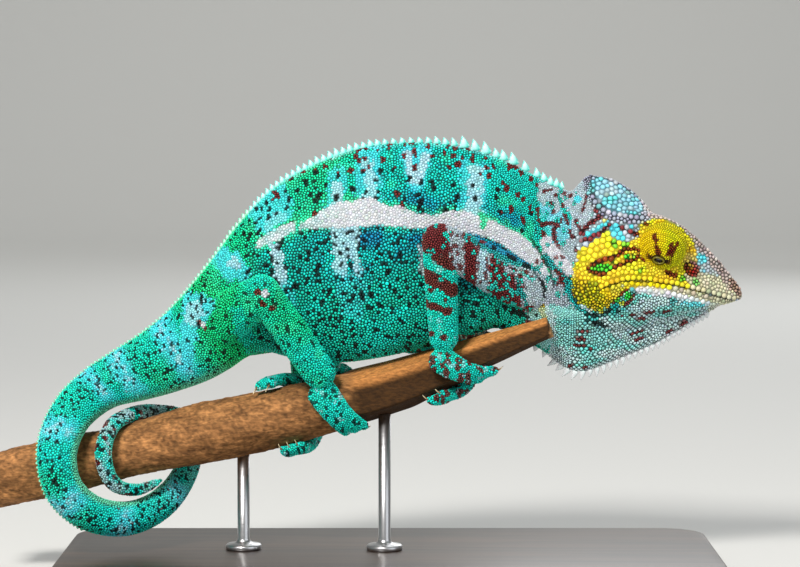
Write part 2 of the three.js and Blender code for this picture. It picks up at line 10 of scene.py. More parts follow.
import bmesh
import bpy
import numpy as np
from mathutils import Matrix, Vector
from mathutils.bvhtree import BVHTree
from mathutils.kdtree import KDTree


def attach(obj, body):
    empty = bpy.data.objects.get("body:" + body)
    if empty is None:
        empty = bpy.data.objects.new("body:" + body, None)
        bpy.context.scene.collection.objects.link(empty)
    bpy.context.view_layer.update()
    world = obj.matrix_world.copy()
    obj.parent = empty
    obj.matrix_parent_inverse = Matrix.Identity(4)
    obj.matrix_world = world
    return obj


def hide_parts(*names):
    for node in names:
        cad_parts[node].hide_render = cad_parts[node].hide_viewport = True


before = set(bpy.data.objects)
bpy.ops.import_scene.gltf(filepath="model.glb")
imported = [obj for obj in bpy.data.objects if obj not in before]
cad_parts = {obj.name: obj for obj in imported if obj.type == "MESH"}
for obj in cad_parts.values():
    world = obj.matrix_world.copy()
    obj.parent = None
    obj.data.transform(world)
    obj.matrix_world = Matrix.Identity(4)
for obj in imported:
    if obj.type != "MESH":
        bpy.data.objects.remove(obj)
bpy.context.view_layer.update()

log = logging.getLogger("chameleon")
MM = 0.001
Array = np.ndarray
Outline = tuple[tuple[float, float], ...]
Place = Callable[[Array, Array, Array], Array]

# ---------------------------------------------------------------- the animal's named lines, in millimetres
COAT = 0.35  # how far the skin lies inside the solids
ROW_SHARE = 0.87  # a row's width as a share of the distance between its scales
UPPER_ARM = 32.6  # the upper arm's length that its markings are drawn for
MOUTH_CORNER = (80, 105.5)  # where the lips meet, as x and height

# Trunk, from nape to tail base: back line x, z, belly line x, z, half-width, how low the widest part lies.
TORSO = [
    (57.3, 140.5, 57.3, 78.6, 10.3, 0.05),
    (51.5, 143.8, 50, 82.6, 11, 0.1),
    (39.6, 149.5, 38.5, 88, 12.8, 0.2),
    (25.2, 153.8, 25.9, 84.4, 14.4, 0.25),
    (9, 155.3, 11.5, 80.8, 15.4, 0.25),
    (-9, 153.5, -3.6, 77.4, 15.6, 0.25),
    (-25.9, 147.7, -18.7, 75.6, 15, 0.25),
    (-41, 139.1, -32.4, 76.6, 14, 0.2),
    (-54, 126.1, -44.6, 79.6, 12.8, 0.1),
    (-64.1, 112.8, -51.4, 77.6, 12, 0),
    (-72, 103.1, -57.6, 73.4, 11.6, -0.05),
    (-81, 93.4, -65.9, 69, 11, -0.05),
    (-90, 86.2, -76.8, 65.2, 10, 0),
    (-100.1, 79.7, -87.4, 62.2, 8.8, 0),
]
# Tail axis: x, y, z, radius.
COIL = [
    (-104.7, 1, 66.2, 8.8),
    (-112.6, -5, 59.7, 8),
    (-117, -13, 51.7, 7.5),
    (-118.1, -18.6, 42.6, 7.2),
    (-115.1, -18.8, 31.5, 7),
    (-106.3, -15, 23.1, 6.8),
    (-94.6, -8, 20.2, 6.4),
    (-84, 1, 23.5, 5.8),
    (-76.5, 11, 31.4, 5),
    (-73.2, 16.2, 42.3, 4.4),
    (-76.8, 15, 53.5, 3.9),
    (-85.5, 10.6, 56.3, 3.5),
    (-93.5, 2.6, 56.6, 3.1),
    (-99.5, -8.2, 53.7, 3.1),
    (-102.1, -14.8, 44.4, 3.3),
    (-98.8, -12.8, 33.7, 3),
    (-90.7, -7.2, 30.6, 2.5),
    (-81.6, -3, 33.8, 1.4),
]
# Head lines from nape to nose: x, z, half-width.
HEAD_FROM = 55.2
HEAD_TO = 127.0
HEAD_LINES = {
    "crown": (
        (54, 140.9, 0), (61, 139.3, 0), (65, 137.8, 0), (68.4, 141, 0), (71.2, 143.5, 0), (75.6, 143, 0),
        (79.5, 141.9, 0), (85, 139.2, 0), (90, 135, 0), (94, 129.9, 0), (97, 127.7, 0), (105, 123.2, 0),
        (113, 115.9, 0), (120, 109.1, 0), (124, 103.9, 0), (127, 101.3, 0),
    ),
    "ridge": (
        (54, 139.8, 1.8), (65, 136.8, 1.6), (68.4, 140.2, 1.2), (71.2, 142.7, 1.1), (79.5, 141.1, 1.3),
        (85, 138.3, 1.6), (90, 134.2, 2.2), (94, 129.9, 4), (97, 128, 5), (105, 123.6, 5),
        (113, 116.4, 3.8), (120, 109.4, 2.4), (127, 101.3, 1.2),
    ),
    "crest": (
        (54, 131, 6), (63, 130, 6.6), (68, 133, 4.8), (71, 137, 3.6), (73.5, 133.5, 5.8),
        (77, 130.6, 8.6), (84, 129, 10.4), (90, 128.4, 11.2), (97, 128.3, 11.2), (103, 125.9, 10.4),
        (108, 122.3, 9), (113, 117.6, 7.2), (118, 112.9, 5.6), (122.5, 107.4, 4.1), (127, 101.5, 2.4),
    ),
    "temple": (
        (54, 118, 10.2), (66, 121, 10.2), (73, 124, 9.6), (80, 122.5, 11), (88, 120.5, 11.4),
        (97, 118, 10.8), (106, 114, 8.4), (113, 110, 6.4), (119, 106, 4.7), (124, 102.4, 3.2),
        (127, 100.6, 2),
    ),
    "cheek": (
        (54, 102, 10.8), (66, 102.5, 13.4), (73, 104, 15.2), (80, 107, 15.4), (88, 108.5, 14.2),
        (97, 107.5, 12.6), (106, 105, 10.4), (113, 102.8, 8.2), (119, 100.6, 6), (123.5, 98.9, 4),
        (127, 99.8, 1.8),
    ),
    "jaw": (
        (54, 93, 9.2), (66, 95, 12.2), (73, 96.5, 14), (80, 97, 13.4), (88, 97, 12), (97, 96.8, 10.2),
        (106, 96.6, 8), (113, 96.6, 6), (119, 96.8, 4.2), (123.5, 97.4, 2.8), (127, 99.3, 1.2),
    ),
    "throat": (
        (54, 86, 5.4), (66, 84, 6.2), (73, 84, 6.5), (80, 86, 6.3), (88, 88, 5.6), (97, 90.5, 4.8),
        (106, 93, 3.9), (113, 95, 3.1), (119, 96.1, 2.3), (123.5, 97.1, 1.5), (127, 99, 0.7),
    ),
    "keel": (
        (54, 80.6, 0), (61, 74.8, 0), (66, 72.4, 0), (71, 72.5, 0), (77, 74.6, 0), (87, 78.6, 0),
        (95, 82, 0), (104, 87, 0), (113, 92.4, 0), (118, 95.4, 0), (122.5, 97, 0), (125, 98.1, 0),
        (127, 98.9, 0),
    ),
}
HEAD_RING = 2 * len(HEAD_LINES) - 2  # named points round the head, both sides
MOUTH = [
    (64, 97), (70, 99.6), (74.9, 103.2), (79, 105), (85, 106.3), (92.5, 105.8), (100.8, 104.5),
    (109, 102.4), (117.4, 100), (122.5, 98.5), (130, 97.6),
]
BRANCH = (
    (-144, 1, 32.7, 10),
    (-118, 0, 38.6, 10.4),
    (-95, 0, 43.6, 9.6),
    (-64.8, 0, 50.4, 11.2),
    (-36, 0, 57, 10.6),
    (-15, -0.6, 62.6, 10),
    (3.6, -2, 68, 9.3),
    (20, -3.6, 74.4, 7.7),
    (35.6, -6.2, 80.9, 5.9),
    (57, -10.5, 89.3, 3.8),
)


class Side(Enum):
    """A side of the animal."""

    LEFT = 1
    RIGHT = -1


class Region(Enum):
    """A stretch of skin with its own scales and markings."""

    BODY = "body"
    HEAD = "head"
    TURRET = "turret"
    FORE_UPPER = "fore_upper"
    FORE_LOWER = "fore_lower"
    FORE_FOOT = "fore_foot"
    HIND_UPPER = "hind_upper"
    HIND_LOWER = "hind_lower"
    HIND_FOOT = "hind_foot"


ORDER = {region: n for n, region in enumerate(Region)}


# ---------------------------------------------------------------- small tools
def cubic(a: Array, b: Array, c: Array, d: Array, f: Array) -> Array:
    """Reads smoothly between b and c, whose outer neighbours are a and d, a share f of the way."""
    start, end, rise = (c - a) / 2, (d - b) / 2, c - b
    return b + f * (start + f * (3 * rise - 2 * start - end + f * (start + end - 2 * rise)))


def spline(rows: list | Array, k: Array) -> Array:
    """Reads a table smoothly between its rows.

    Args:
        rows: the table.
        k: row numbers, whole or between.

    Returns:
        One row of values for each k.
    """
    table = np.asarray(rows, float)
    last = len(table) - 1
    k = np.clip(np.atleast_1d(k), 0, last)
    i = np.clip(np.floor(k).astype(int), 0, last - 1)
    return cubic(*(table[np.clip(i + n, 0, last)] for n in (-1, 0, 1, 2)), (k - i)[:, None])


@cache
def close_table(rows: tuple) -> Array:
    """A table of points read smoothly at close steps."""
    return spline(rows, np.linspace(0, len(rows) - 1, 24 * len(rows)))


def row_at(rows: tuple, x: Array | float) -> Array:
    """Reads a table at values of its first column, which rises."""
    table = close_table(rows)
    return resampled(table, table[:, 0], np.atleast_1d(x))


def travelled(points: Array) -> Array:
    """The distance covered so far at each point of a line."""
    return np.concatenate([[0], np.cumsum(np.linalg.norm(np.diff(points, axis=0), axis=1))])


def resampled(points: Array, so_far: Array, wanted: Array) -> Array:
    """Rows of a table at wanted values of a measure that rises along it."""
    return np.stack([np.interp(wanted, so_far, column) for column in points.T], 1)


def unit(v: Array) -> Array:
    """Vectors of length one along the last axis."""
    return v / (np.linalg.norm(v, axis=-1, keepdims=True) + 1e-12)


def smooth(low: float, high: float, x: Array) -> Array:
    """Eases from 0 at low to 1 at high, or the other way round where high is below low."""
    t = np.clip((x - low) / (high - low), 0, 1)
    return t * t * (3 - 2 * t)


def mix(a: float | Array, b: float | Array, t: float | Array) -> float | Array:
    """The value a share t of the way from a to b."""
    return a + (b - a) * t


def linear(red: int, green: int, blue: int) -> Array:
    """A colour given as whole numbers up to 255, as light values."""
    c = np.array([red, green, blue]) / 255
    return np.where(c <= 0.04045, c / 12.92, ((c + 0.055) / 1.055) ** 2.4)


def blend(under: Array, over: Array, weight: Array) -> Array:
    """Lays one colour over another by weight, point by point."""
    return under * (1 - weight[:, None]) + over * weight[:, None]


def eased(t: Array) -> Array:
    """Shares from 0 to 1 that lie closer together at both ends."""
    return (1 - np.cos(np.pi * t)) / 2


def rounding(before: Array, after: Array) -> Array:
    """How far a form's ends have closed, from how far points lie past its two ends."""
    past = np.maximum(np.maximum(before, after), 0)
    return np.sqrt(np.maximum(0, 1 - past**2))


def oval(centre: Array, across: Array, wide: Array, out: Array, thick: Array, angle: Array) -> Array:
    """Points of an oval section.

    Args:
        centre: its middle.
        across: its first direction.
        wide: its half-size that way.
        out: its second direction.
        thick: its half-size that way.
        angle: angles round it from the first direction.

    Returns:
        The points.
    """
    return centre + across * (np.cos(angle) * wide)[:, None] + out * (np.sin(angle) * thick)[:, None]


class Noise:
    """Smooth random values through space."""

    def __init__(self, seed: int) -> None:
        """Fills the lattice."""
        self.table = np.random.default_rng(seed).random((32, 32, 32))

    def at(self, p: Array, size: float | tuple[float, float, float]) -> Array:
        """Values from -1 to 1 at points, with bumps of that size.

        Args:
            p: points, one in each row.
            size: the bumps' size, or one size for each axis.

        Returns:
            One value for each point.
        """
        q = p / np.asarray(size)
        i = np.floor(q).astype(int)
        f = q - i
        f = f * f * (3 - 2 * f)
        total = np.zeros(len(p))
        for dx in (0, 1):
            for dy in (0, 1):
                for dz in (0, 1):
                    corner = self.table[(i[:, 0] + dx) % 32, (i[:, 1] + dy) % 32, (i[:, 2] + dz) % 32]
                    weight = np.ones(len(p))
                    for axis, d in enumerate((dx, dy, dz)):
                        weight *= f[:, axis] if d else 1 - f[:, axis]
                    total += weight * corner
        return 2 * total - 1


@dataclass(frozen=True)
class Scatter:
    """Points' distances to the nearest of many scattered spots, and those spots' luck from 0 to 1."""

    away: Array
    luck: Array

    def covers(self, radius: float | Array, growth: float, least: float | Array) -> Array:
        """Which points lie in a spot: luckier spots are larger, those below the least luck don't show."""
        return (self.away < radius + growth * self.luck) & (self.luck > least)


def spots(u: Array, v: Array, cell: float, seed: int, tall: float = 1.0) -> Scatter:
    """Scatters one spot in each cell of a grid.

    Args:
        u: places along the skin.
        v: places across the skin.
        cell: the grid's pitch.
        seed: which scatter.
        tall: how many times taller than wide a spot is.

    Returns:
        The scatter.
    """
    table = np.random.default_rng(seed).random((64, 64, 3))
    v = v / tall
    iu, iv = np.floor(u / cell).astype(int), np.floor(v / cell).astype(int)
    nearest, luck = np.full(len(u), 1e9), np.zeros(len(u))
    for du in (-1, 0, 1):
        for dv in (-1, 0, 1):
            own = table[(iu + du) % 64, (iv + dv) % 64]
            away = np.hypot(u - (iu + du + own[:, 0]) * cell, v - (iv + dv + own[:, 1]) * cell)
            closer = away < nearest
            nearest = np.where(closer, away, nearest)
            luck = np.where(closer, own[:, 2], luck)
    return Scatter(nearest, luck)


def grown_tree(p: Array) -> KDTree:
    """A search tree of points.

    Args:
        p: the points.

    Returns:
        The tree.
    """
    tree = KDTree(len(p))
    for n, q in enumerate(p):
        tree.insert(q, n)
    tree.balance()
    return tree


def neighbours(p: Array, count: int) -> tuple[Array, Array]:
    """Each point's nearest others and their distances.

    Args:
        p: the points.
        count: how many others.

    Returns:
        The others' numbers and their distances, a row for each point.
    """
    tree = grown_tree(p)
    found = [tree.find_n(q, count + 1)[1:] for q in p]
    return np.array([[f[1] for f in row] for row in found]), np.array([[f[2] for f in row] for row in found])


def line_distance(x: Array, z: Array, points: tuple) -> Array:
    """Measures how far points of the side plane lie from a drawn line.

    Args:
        x: the points' places along the animal.
        z: their heights.
        points: the line's corners.

    Returns:
        The distances.
    """
    nearest = np.full(len(x), 1e9)
    for (ax, az), (bx, bz) in zip(points, points[1:]):
        dx, dz = bx - ax, bz - az
        t = np.clip(((x - ax) * dx + (z - az) * dz) / (dx * dx + dz * dz + 1e-9), 0, 1)
        nearest = np.minimum(nearest, np.hypot(x - ax - t * dx, z - az - t * dz))
    return nearest


def add_loft(bm: bmesh.types.BMesh, place: Place, around: int, along: int) -> list[bmesh.types.BMVert]:
    """Adds a closed form: a ball whose vertices are moved onto a surface.

    Args:
        bm: the mesh it joins.
        place: the surface, from share of length, angle and reach (0 at the two poles).
        around: segments round it.
        along: rings along it.

    Returns:
        The new vertices.
    """
    made = bmesh.ops.create_uvsphere(bm, u_segments=around, v_segments=along, radius=1)["verts"]
    ball = np.array([v.co for v in made])
    t = np.round(np.arccos(np.clip(ball[:, 2], -1, 1)) / math.pi * along) / along
    angle = np.arctan2(ball[:, 1], ball[:, 0])
    reach = ((t > 0) & (t < 1)).astype(float)
    for vert, p in zip(made, place(t, angle, reach) * MM):
        vert.co = p
    return made


def linked(name: str, data: bpy.types.ID) -> bpy.types.Object:
    """Puts a mesh, a light or a camera into the scene as an object.

    Args:
        name: the object's name.
        data: what it shows.

    Returns:
        The object.
    """
    made = bpy.data.objects.new(name, data)
    bpy.context.scene.collection.objects.link(made)
    return made


def finish_mesh(bm: bmesh.types.BMesh, name: str) -> bpy.types.Object:
    """Turns a bmesh into a smooth-shaded object, with its face directions worked out again.

    Args:
        bm: the mesh, which is freed.
        name: the object's name.

    Returns:
        The object.
    """
    bmesh.ops.recalc_face_normals(bm, faces=bm.faces)
    mesh = bpy.data.meshes.new(name)
    bm.to_mesh(mesh)
    bm.free()
    mesh.shade_smooth()
    return linked(name, mesh)


def baked_copy(source: bpy.types.Object, name: str) -> bpy.types.Object:
    """Replaces an object by a plain one that holds its modifiers' result.

    Args:
        source: the object, which is removed.
        name: the new object's name.

    Returns:
        The new object.
    """
    bpy.context.view_layer.update()
    evaluated = source.evaluated_get(bpy.context.evaluated_depsgraph_get())
    mesh = bpy.data.meshes.new_from_object(evaluated)
    mesh.name = name
    mesh.shade_smooth()
    old = source.data
    bpy.data.objects.remove(source)
    bpy.data.meshes.remove(old)
    return linked(name, mesh)


def paint(mesh: bpy.types.Mesh, colours: Array) -> None:
    """Stores one colour for each vertex as the attribute Marking.

    Args:
        mesh: the mesh.
        colours: light values, a row for each vertex.
    """
    attribute = mesh.color_attributes.new("Marking", "FLOAT_COLOR", "POINT")
    rgba = np.ones((len(colours), 4), np.float32)
    rgba[:, :3] = np.clip(colours, 0, 1)
    attribute.data.foreach_set("color", rgba.ravel())


def vectors(items: bpy.types.bpy_prop_collection, name: str) -> Array:
    """Reads a vector from each of a mesh's items.

    Args:
        items: the mesh's items.
        name: the vector's name.

    Returns:
        The vectors.
    """
    flat = np.empty(3 * len(items), np.float32)
    items.foreach_get(name, flat)
    return flat.reshape(-1, 3).astype(float)


def points_of(mesh: bpy.types.Mesh) -> Array:
    """A mesh's vertices in millimetres."""
    return vectors(mesh.vertices, "co") / MM


def settle(made: bpy.types.Object, finish: bpy.types.Material, slot: str, *nodes: str) -> bpy.types.Object:
    """Dresses a piece and lets it ride on the part and stand for nodes.

    Args:
        made: the piece.
        finish: its material.
        slot: not used.
        *nodes: the nodes that it replaces.

    Returns:
        The piece.
    """
    made.data.materials.append(finish)
    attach(made, "root")
    if nodes:
        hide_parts(*nodes)
    log.info("%s: %d faces", made.name, len(made.data.polygons))
    return made


# ---------------------------------------------------------------- surfaces
def spine_table() -> list[tuple[float, ...]]:
    """Lists the stations from nape to tail tip.

    Returns:
        Back line, belly line, sideways place, half-width and lowness for each.
    """
    rows = [(*r[:4], 1.5 if n == len(TORSO) - 1 else 0.0, *r[4:]) for n, r in enumerate(TORSO)]
    for n, (x, y, z, r) in enumerate(COIL):
        before, after = COIL[max(n - 1, 0)], COIL[min(n + 1, len(COIL) - 1)]
        run = unit(np.array([after[0] - before[0], after[2] - before[2]]))
        rows.append((x + run[1] * r, z - run[0] * r, x - run[1] * r, z + run[0] * r, y, 0.95 * r, 0.0))
    return rows


SPINE = spine_table()
LAST_STATION = len(SPINE) - 1


def spine_middle(k: Array) -> Array:
    """Points midway between the back and the belly at stations."""
    r = spline(SPINE, k)
    return np.stack([(r[:, 0] + r[:, 2]) / 2, r[:, 4], (r[:, 1] + r[:, 3]) / 2], 1)


def body_surface(k: Array, angle: Array, reach: Array, grow: float = 0.0) -> Array:
    """Points of the body and tail.

    Args:
        k: stations.
        angle: angles round the section, 0 on the back and a quarter turn on the left.
        reach: 1 on the surface and 0 on the axis.
        grow: how far outside the named lines.

    Returns:
        The points.
    """
    r = spline(SPINE, k)
    up = np.stack([(r[:, 0] - r[:, 2]) / 2, np.zeros(len(r)), (r[:, 1] - r[:, 3]) / 2], 1)
    forward = unit(spine_middle(k - 0.05) - spine_middle(k + 0.05))
    left = unit(np.cross(unit(up), forward))
    c, s = np.cos(angle), np.sin(angle)
    pinch = 1 - 0.3 * np.maximum(0, c) ** 4
    sideways = (r[:, 5] + grow) * s * (1 - r[:, 6] * c) * pinch
    upwards = c * (1 + grow / np.linalg.norm(up, axis=1))
    return spine_middle(k) + reach[:, None] * (up * upwards[:, None] + left * sideways[:, None])


def lip_height(x: Array) -> Array:
    """The height of the mouth's line at places along the head."""
    return np.interp(x, *np.transpose(MOUTH))


def head_surface(x: Array, angle: Array, reach: Array, grow: float = 0.0) -> Array:
    """Points of the head.

    Args:
        x: places along it.
        angle: share of a full turn round the section, from the crown down the left side, as an angle.
        reach: 1 on the surface and 0 on the axis.
        grow: how far outside the named lines.

    Returns:
        The points.
    """
    half = np.stack([row_at(rows, x)[:, 1:] for rows in HEAD_LINES.values()], 1)
    mirrored = half[:, -2:0:-1] * np.array([1, -1])
    ring = np.concatenate([half, mirrored], 1)
    k = (angle % (2 * math.pi)) / (2 * math.pi) * HEAD_RING
    i = np.floor(k).astype(int)
    each = np.arange(len(x))
    zy = cubic(*(ring[each, (i + n) % HEAD_RING] for n in (-1, 0, 1, 2)), (k - i)[:, None])
    middle = np.stack([mix(half[:, 0, 0], half[:, -1, 0], 0.45), np.zeros(len(x))], 1)
    above = zy[:, 0] - lip_height(x)
    below = smooth(0.1, -0.5, above) * smooth(-7, -1.5, above) * smooth(68, 76, x)
    out = unit(zy - middle)
    zy = middle + (zy - middle) * reach[:, None] + out * ((grow - 0.55 * below) * reach)[:, None]
    return np.stack([x, zy[:, 1], zy[:, 0]], 1)


def branch_point(x: Array, degrees: Array, distance: Array) -> Array:
    """Points beside the branch.

    Args:
        x: places along it.
        degrees: degrees round it, 0 on top and 90 on the right.
        distance: distances from its axis.

    Returns:
        The points.
    """
    middle = row_at(BRANCH, x)[:, :3]
    run = unit(row_at(BRANCH, x + 0.5)[:, :3] - row_at(BRANCH, x - 0.5)[:, :3])
    right = unit(np.array([0.0, -1, 0]) + run * run[:, 1:2])
    up = -np.cross(run, right)
    angle = np.radians(degrees)
    return middle + distance[:, None] * (up * np.cos(angle)[:, None] + right * np.sin(angle)[:, None])


@dataclass(frozen=True)
class Limb:
    """A length of leg between two points with rounded ends; radii lie in the flank's plane and across it."""

    region: Region
    start: tuple[float, float, float]
    end: tuple[float, float, float]
    start_radii: tuple[float, float]
    end_radii: tuple[float, float]
    bulge: float = 0.06

    def surface(self, t: Array, angle: Array, reach: Array) -> Array:
        """Points of the limb's skin.

        Args:
            t: shares of its length.
            angle: angles round it.
            reach: 1 on the skin and 0 on the axis.

        Returns:
            The points.
        """
        a, b = np.array(self.start), np.array(self.end)
        length = np.linalg.norm(b - a)
        run = unit(b - a)
        flat = unit(np.array([0.0, 1, 0]) - run * run[1])
        in_plane = np.cross(run, flat)
        first, last = self.start_radii[0] - COAT, self.end_radii[0] - COAT
        along = mix(-first, length + last, eased(t))
        s = np.clip(along / length, 0, 1)
        round_off = reach * rounding(-along / first, (along - length) / last)
        swell = 1 + self.bulge * np.sin(np.pi * s)
        both = zip(self.start_radii, self.end_radii)
        wide, thick = ((mix(*ends, s) * swell - COAT) * round_off for ends in both)
        sideways = in_plane * (np.cos(angle) * wide)[:, None] + flat * (np.sin(angle) * thick)[:, None]
        return a + run * along[:, None] + sideways


@dataclass(frozen=True)
class ToeBundle:
    """A bundle of fused toes round the branch.

    Each pair holds a value at the palm and one at the toes' ends: x along the branch, degrees round it,
    half-width and half-thickness.
    """

    name: str
    region: Region
    count: int
    ends_x: tuple[float, float]
    degrees: tuple[float, float]
    wide: tuple[float, float]
    thick: tuple[float, float]

    def axis(self, t: Array, aside: float = 0.0) -> Array:
        """Points of the bundle's middle, or of a line beside it.

        Args:
            t: shares of its length.
            aside: how far beside the middle.

        Returns:
            The points.
        """
        x = mix(*self.ends_x, t) + aside
        lift = mix(*self.thick, np.minimum(1, 1.4 * t))
        distance = row_at(BRANCH, x)[:, 3] * 1.05 + lift
        return branch_point(x, mix(*self.degrees, t), distance)

    def frame_at(self, t: Array, aside: float = 0.0) -> tuple[Array, Array, Array, Array]:
        """Finds the frame of the bundle's middle, or of a line beside it.

        Args:
            t: shares of its length.
            aside: how far beside the middle.

        Returns:
            Its points with the directions along it, away from the branch and across the bundle.
        """
        centre = self.axis(t, aside)
        run = unit(self.axis(np.minimum(t + 0.02, 1), aside) - self.axis(np.maximum(t - 0.02, 0), aside))
        out = unit(centre - row_at(BRANCH, centre[:, 0])[:, :3])
        return centre, run, out, unit(np.cross(run, out))

    def mitten(self, t: Array, angle: Array, reach: Array) -> Array:
        """Points of the skin round the fused toes.

        Args:
            t: shares of its length.
            angle: angles round it.
            reach: 1 on the skin and 0 on the axis.

        Returns:
            The points.
        """
        spread = eased(t)
        centre, _, out, across = self.frame_at(spread)
        round_off = reach * rounding(1 - spread / 0.16, (spread - 0.86) / 0.14)
        slim = mix(1, 0.86, smooth(0.45, 0.8, spread))
        wide, thick = ((mix(*sizes, spread) * slim - COAT) * round_off for sizes in (self.wide, self.thick))
        return oval(centre, across, wide, out, thick, angle)

    def aside(self, n: int) -> float:
        """How far beside the middle a toe lies."""
        return (n / (self.count - 1) - 0.5) * 1.5 * self.wide[1]

    def toe(self, n: int) -> Place:
        """The surface of one toe's free end.

        Args:
            n: which toe.

        Returns:
            The surface.
        """

        def surface(t: Array, angle: Array, reach: Array) -> Array:
            """Points of the toe's skin.

            Args:
                t: shares of its length.
                angle: angles round it.
                reach: 0 at the two poles, 1 elsewhere.

            Returns:
                The points.
            """
            spread = mix(0.4, 1, eased(t))
            centre, _, out, across = self.frame_at(spread, self.aside(n))
            round_off = reach * rounding((0.5 - spread) / 0.1, (spread - 0.9) / 0.1)
            wide = (self.wide[1] / self.count * 1.12 - COAT * 0.5) * round_off
            thick = (self.thick[1] * 1.05 - COAT * 0.5) * round_off
            return oval(centre, across, wide, out, thick, angle)

        return surface


@dataclass(frozen=True)
class Leg:
    """A leg's joints and radii."""

    name: str
    hind: bool
    top: tuple[float, float, float]
    knee: tuple[float, float, float]
    foot: tuple[float, float, float]
    upper: tuple[float, float]
    bend: tuple[float, float]
    lower: tuple[float, float]

    def limbs(self) -> tuple[Limb, Limb]:
        """The upper and the lower length.

        Returns:
            The limbs.
        """
        near = Region.HIND_UPPER if self.hind else Region.FORE_UPPER
        far = Region.HIND_LOWER if self.hind else Region.FORE_LOWER
        knee_radii = (self.bend[0] * 0.92, self.bend[1] * 0.92)
        return (
            Limb(near, self.knee, self.top, self.bend, self.upper),
            Limb(far, self.knee, self.foot, knee_radii, self.lower, 0.03),
        )


LEGS = [
    Leg("foreleg_right", False, (50, -8, 102.6), (17.4, -23.5, 120.6), (19.2, -13.4, 86),
        (8.4, 5.6), (6.7, 5.4), (5.4, 4.2)),
    Leg("foreleg_left", False, (50, 8, 102.6), (26.6, 25.5, 110.6), (28.2, 9.6, 81.8),
        (8.4, 5.6), (6.7, 5.4), (5.2, 4.2)),
    Leg("hindleg_right", True, (-63, -5, 89), (-44.6, -22.5, 102.4), (-25.2, -13.8, 73.6),
        (9.6, 7), (6.8, 5.8), (6.2, 4.8)),
    Leg("hindleg_left", True, (-62, 5, 86), (-31.2, 26.5, 86.8), (-29.8, 15.4, 64.8),
        (9.4, 7), (7.6, 6.2), (6, 4.8)),
]
FORE, HIND = Region.FORE_FOOT, Region.HIND_FOOT
BUNDLES = [
    ToeBundle("forefoot_right_outer", FORE, 2, (18.6, 33.4), (50, 164), (5.7, 3.6), (2.8, 1.9)),
    ToeBundle("forefoot_right_inner", FORE, 3, (20, 39), (30, -96), (4.2, 3.4), (2.6, 1.9)),
    ToeBundle("forefoot_left_outer", FORE, 2, (28, 13.4), (-100, -228), (5, 3.1), (2.8, 1.9)),
    ToeBundle("forefoot_left_inner", FORE, 3, (27, 12), (-60, -12), (4.2, 3.4), (2.6, 1.9)),
    ToeBundle("hindfoot_right_outer", HIND, 3, (-23.6, -14.2), (50, 152), (6.2, 4.6), (3, 2)),
    ToeBundle("hindfoot_right_inner", HIND, 2, (-22.5, -11), (30, -100), (4.6, 3.2), (2.9, 2)),
    ToeBundle("hindfoot_left_outer", HIND, 3, (-29, -38.5), (-100, -218), (5.6, 3.9), (3, 2)),
    ToeBundle("hindfoot_left_inner", HIND, 2, (-29, -43), (-64, 24), (4.6, 3), (2.9, 2)),
]


@dataclass(frozen=True)
class EyeTurret:
    """One eye's cone of fused lids."""

    side: Side
    x: float = 97.1
    y: float = 9.7
    z: float = 118.5
    radius: float = 8.7

    @property
    def centre(self) -> Array:
        """The turret's middle."""
        return np.array([self.x, self.side.value * self.y, self.z])

    @property
    def looks(self) -> Array:
        """The direction of the pupil."""
        return unit(np.array([-0.24, self.side.value * 0.76, -0.6]))

    def axes(self) -> tuple[Array, Array]:
        """The pupil's long direction and the one across it."""
        long = unit(np.cross(self.looks, np.array([0.25, 0, 1.0])))
        return long, np.cross(self.looks, long)

    def off_pupil(self, p: Array) -> Array:
        """How many degrees off the pupil points lie, seen from the middle."""
        return np.degrees(np.arccos(np.clip(unit(p - self.centre) @ self.looks, -1, 1)))

    def covers(self, p: Array) -> Array:
        """Which points the turret's own scales cover."""
        return np.linalg.norm(p - self.centre, axis=1) < self.radius + 0.2

    def direction(self, off: Array, angle: Array, reach: Array) -> Array:
        """Directions from the middle, off the pupil's and at an angle round it.

        Args:
            off: angles off the pupil's direction.
            angle: angles round it.
            reach: 0 on the pupil's line, 1 elsewhere.

        Returns:
            The directions.
        """
        long, across = self.axes()
        ring = long * np.cos(angle)[:, None] + across * np.sin(angle)[:, None]
        return self.looks * np.cos(off)[:, None] + ring * (np.sin(off) * reach)[:, None]

    def surface(self, t: Array, angle: Array, reach: Array) -> Array:
        """Points of the turret's skin, from the pupil's pole backwards.

        Args:
            t: shares of half a turn from the pupil.
            angle: angles round it.
            reach: 1 on the skin and 0 on the axis.

        Returns:
            The points.
        """
        off = np.pi * t
        radius = (self.radius - COAT) * (1 + 0.012 * np.cos(off))
        return self.centre + unit(self.direction(off, angle, reach)) * radius[:, None]


TURRETS = [EyeTurret(Side.LEFT), EyeTurret(Side.RIGHT)]


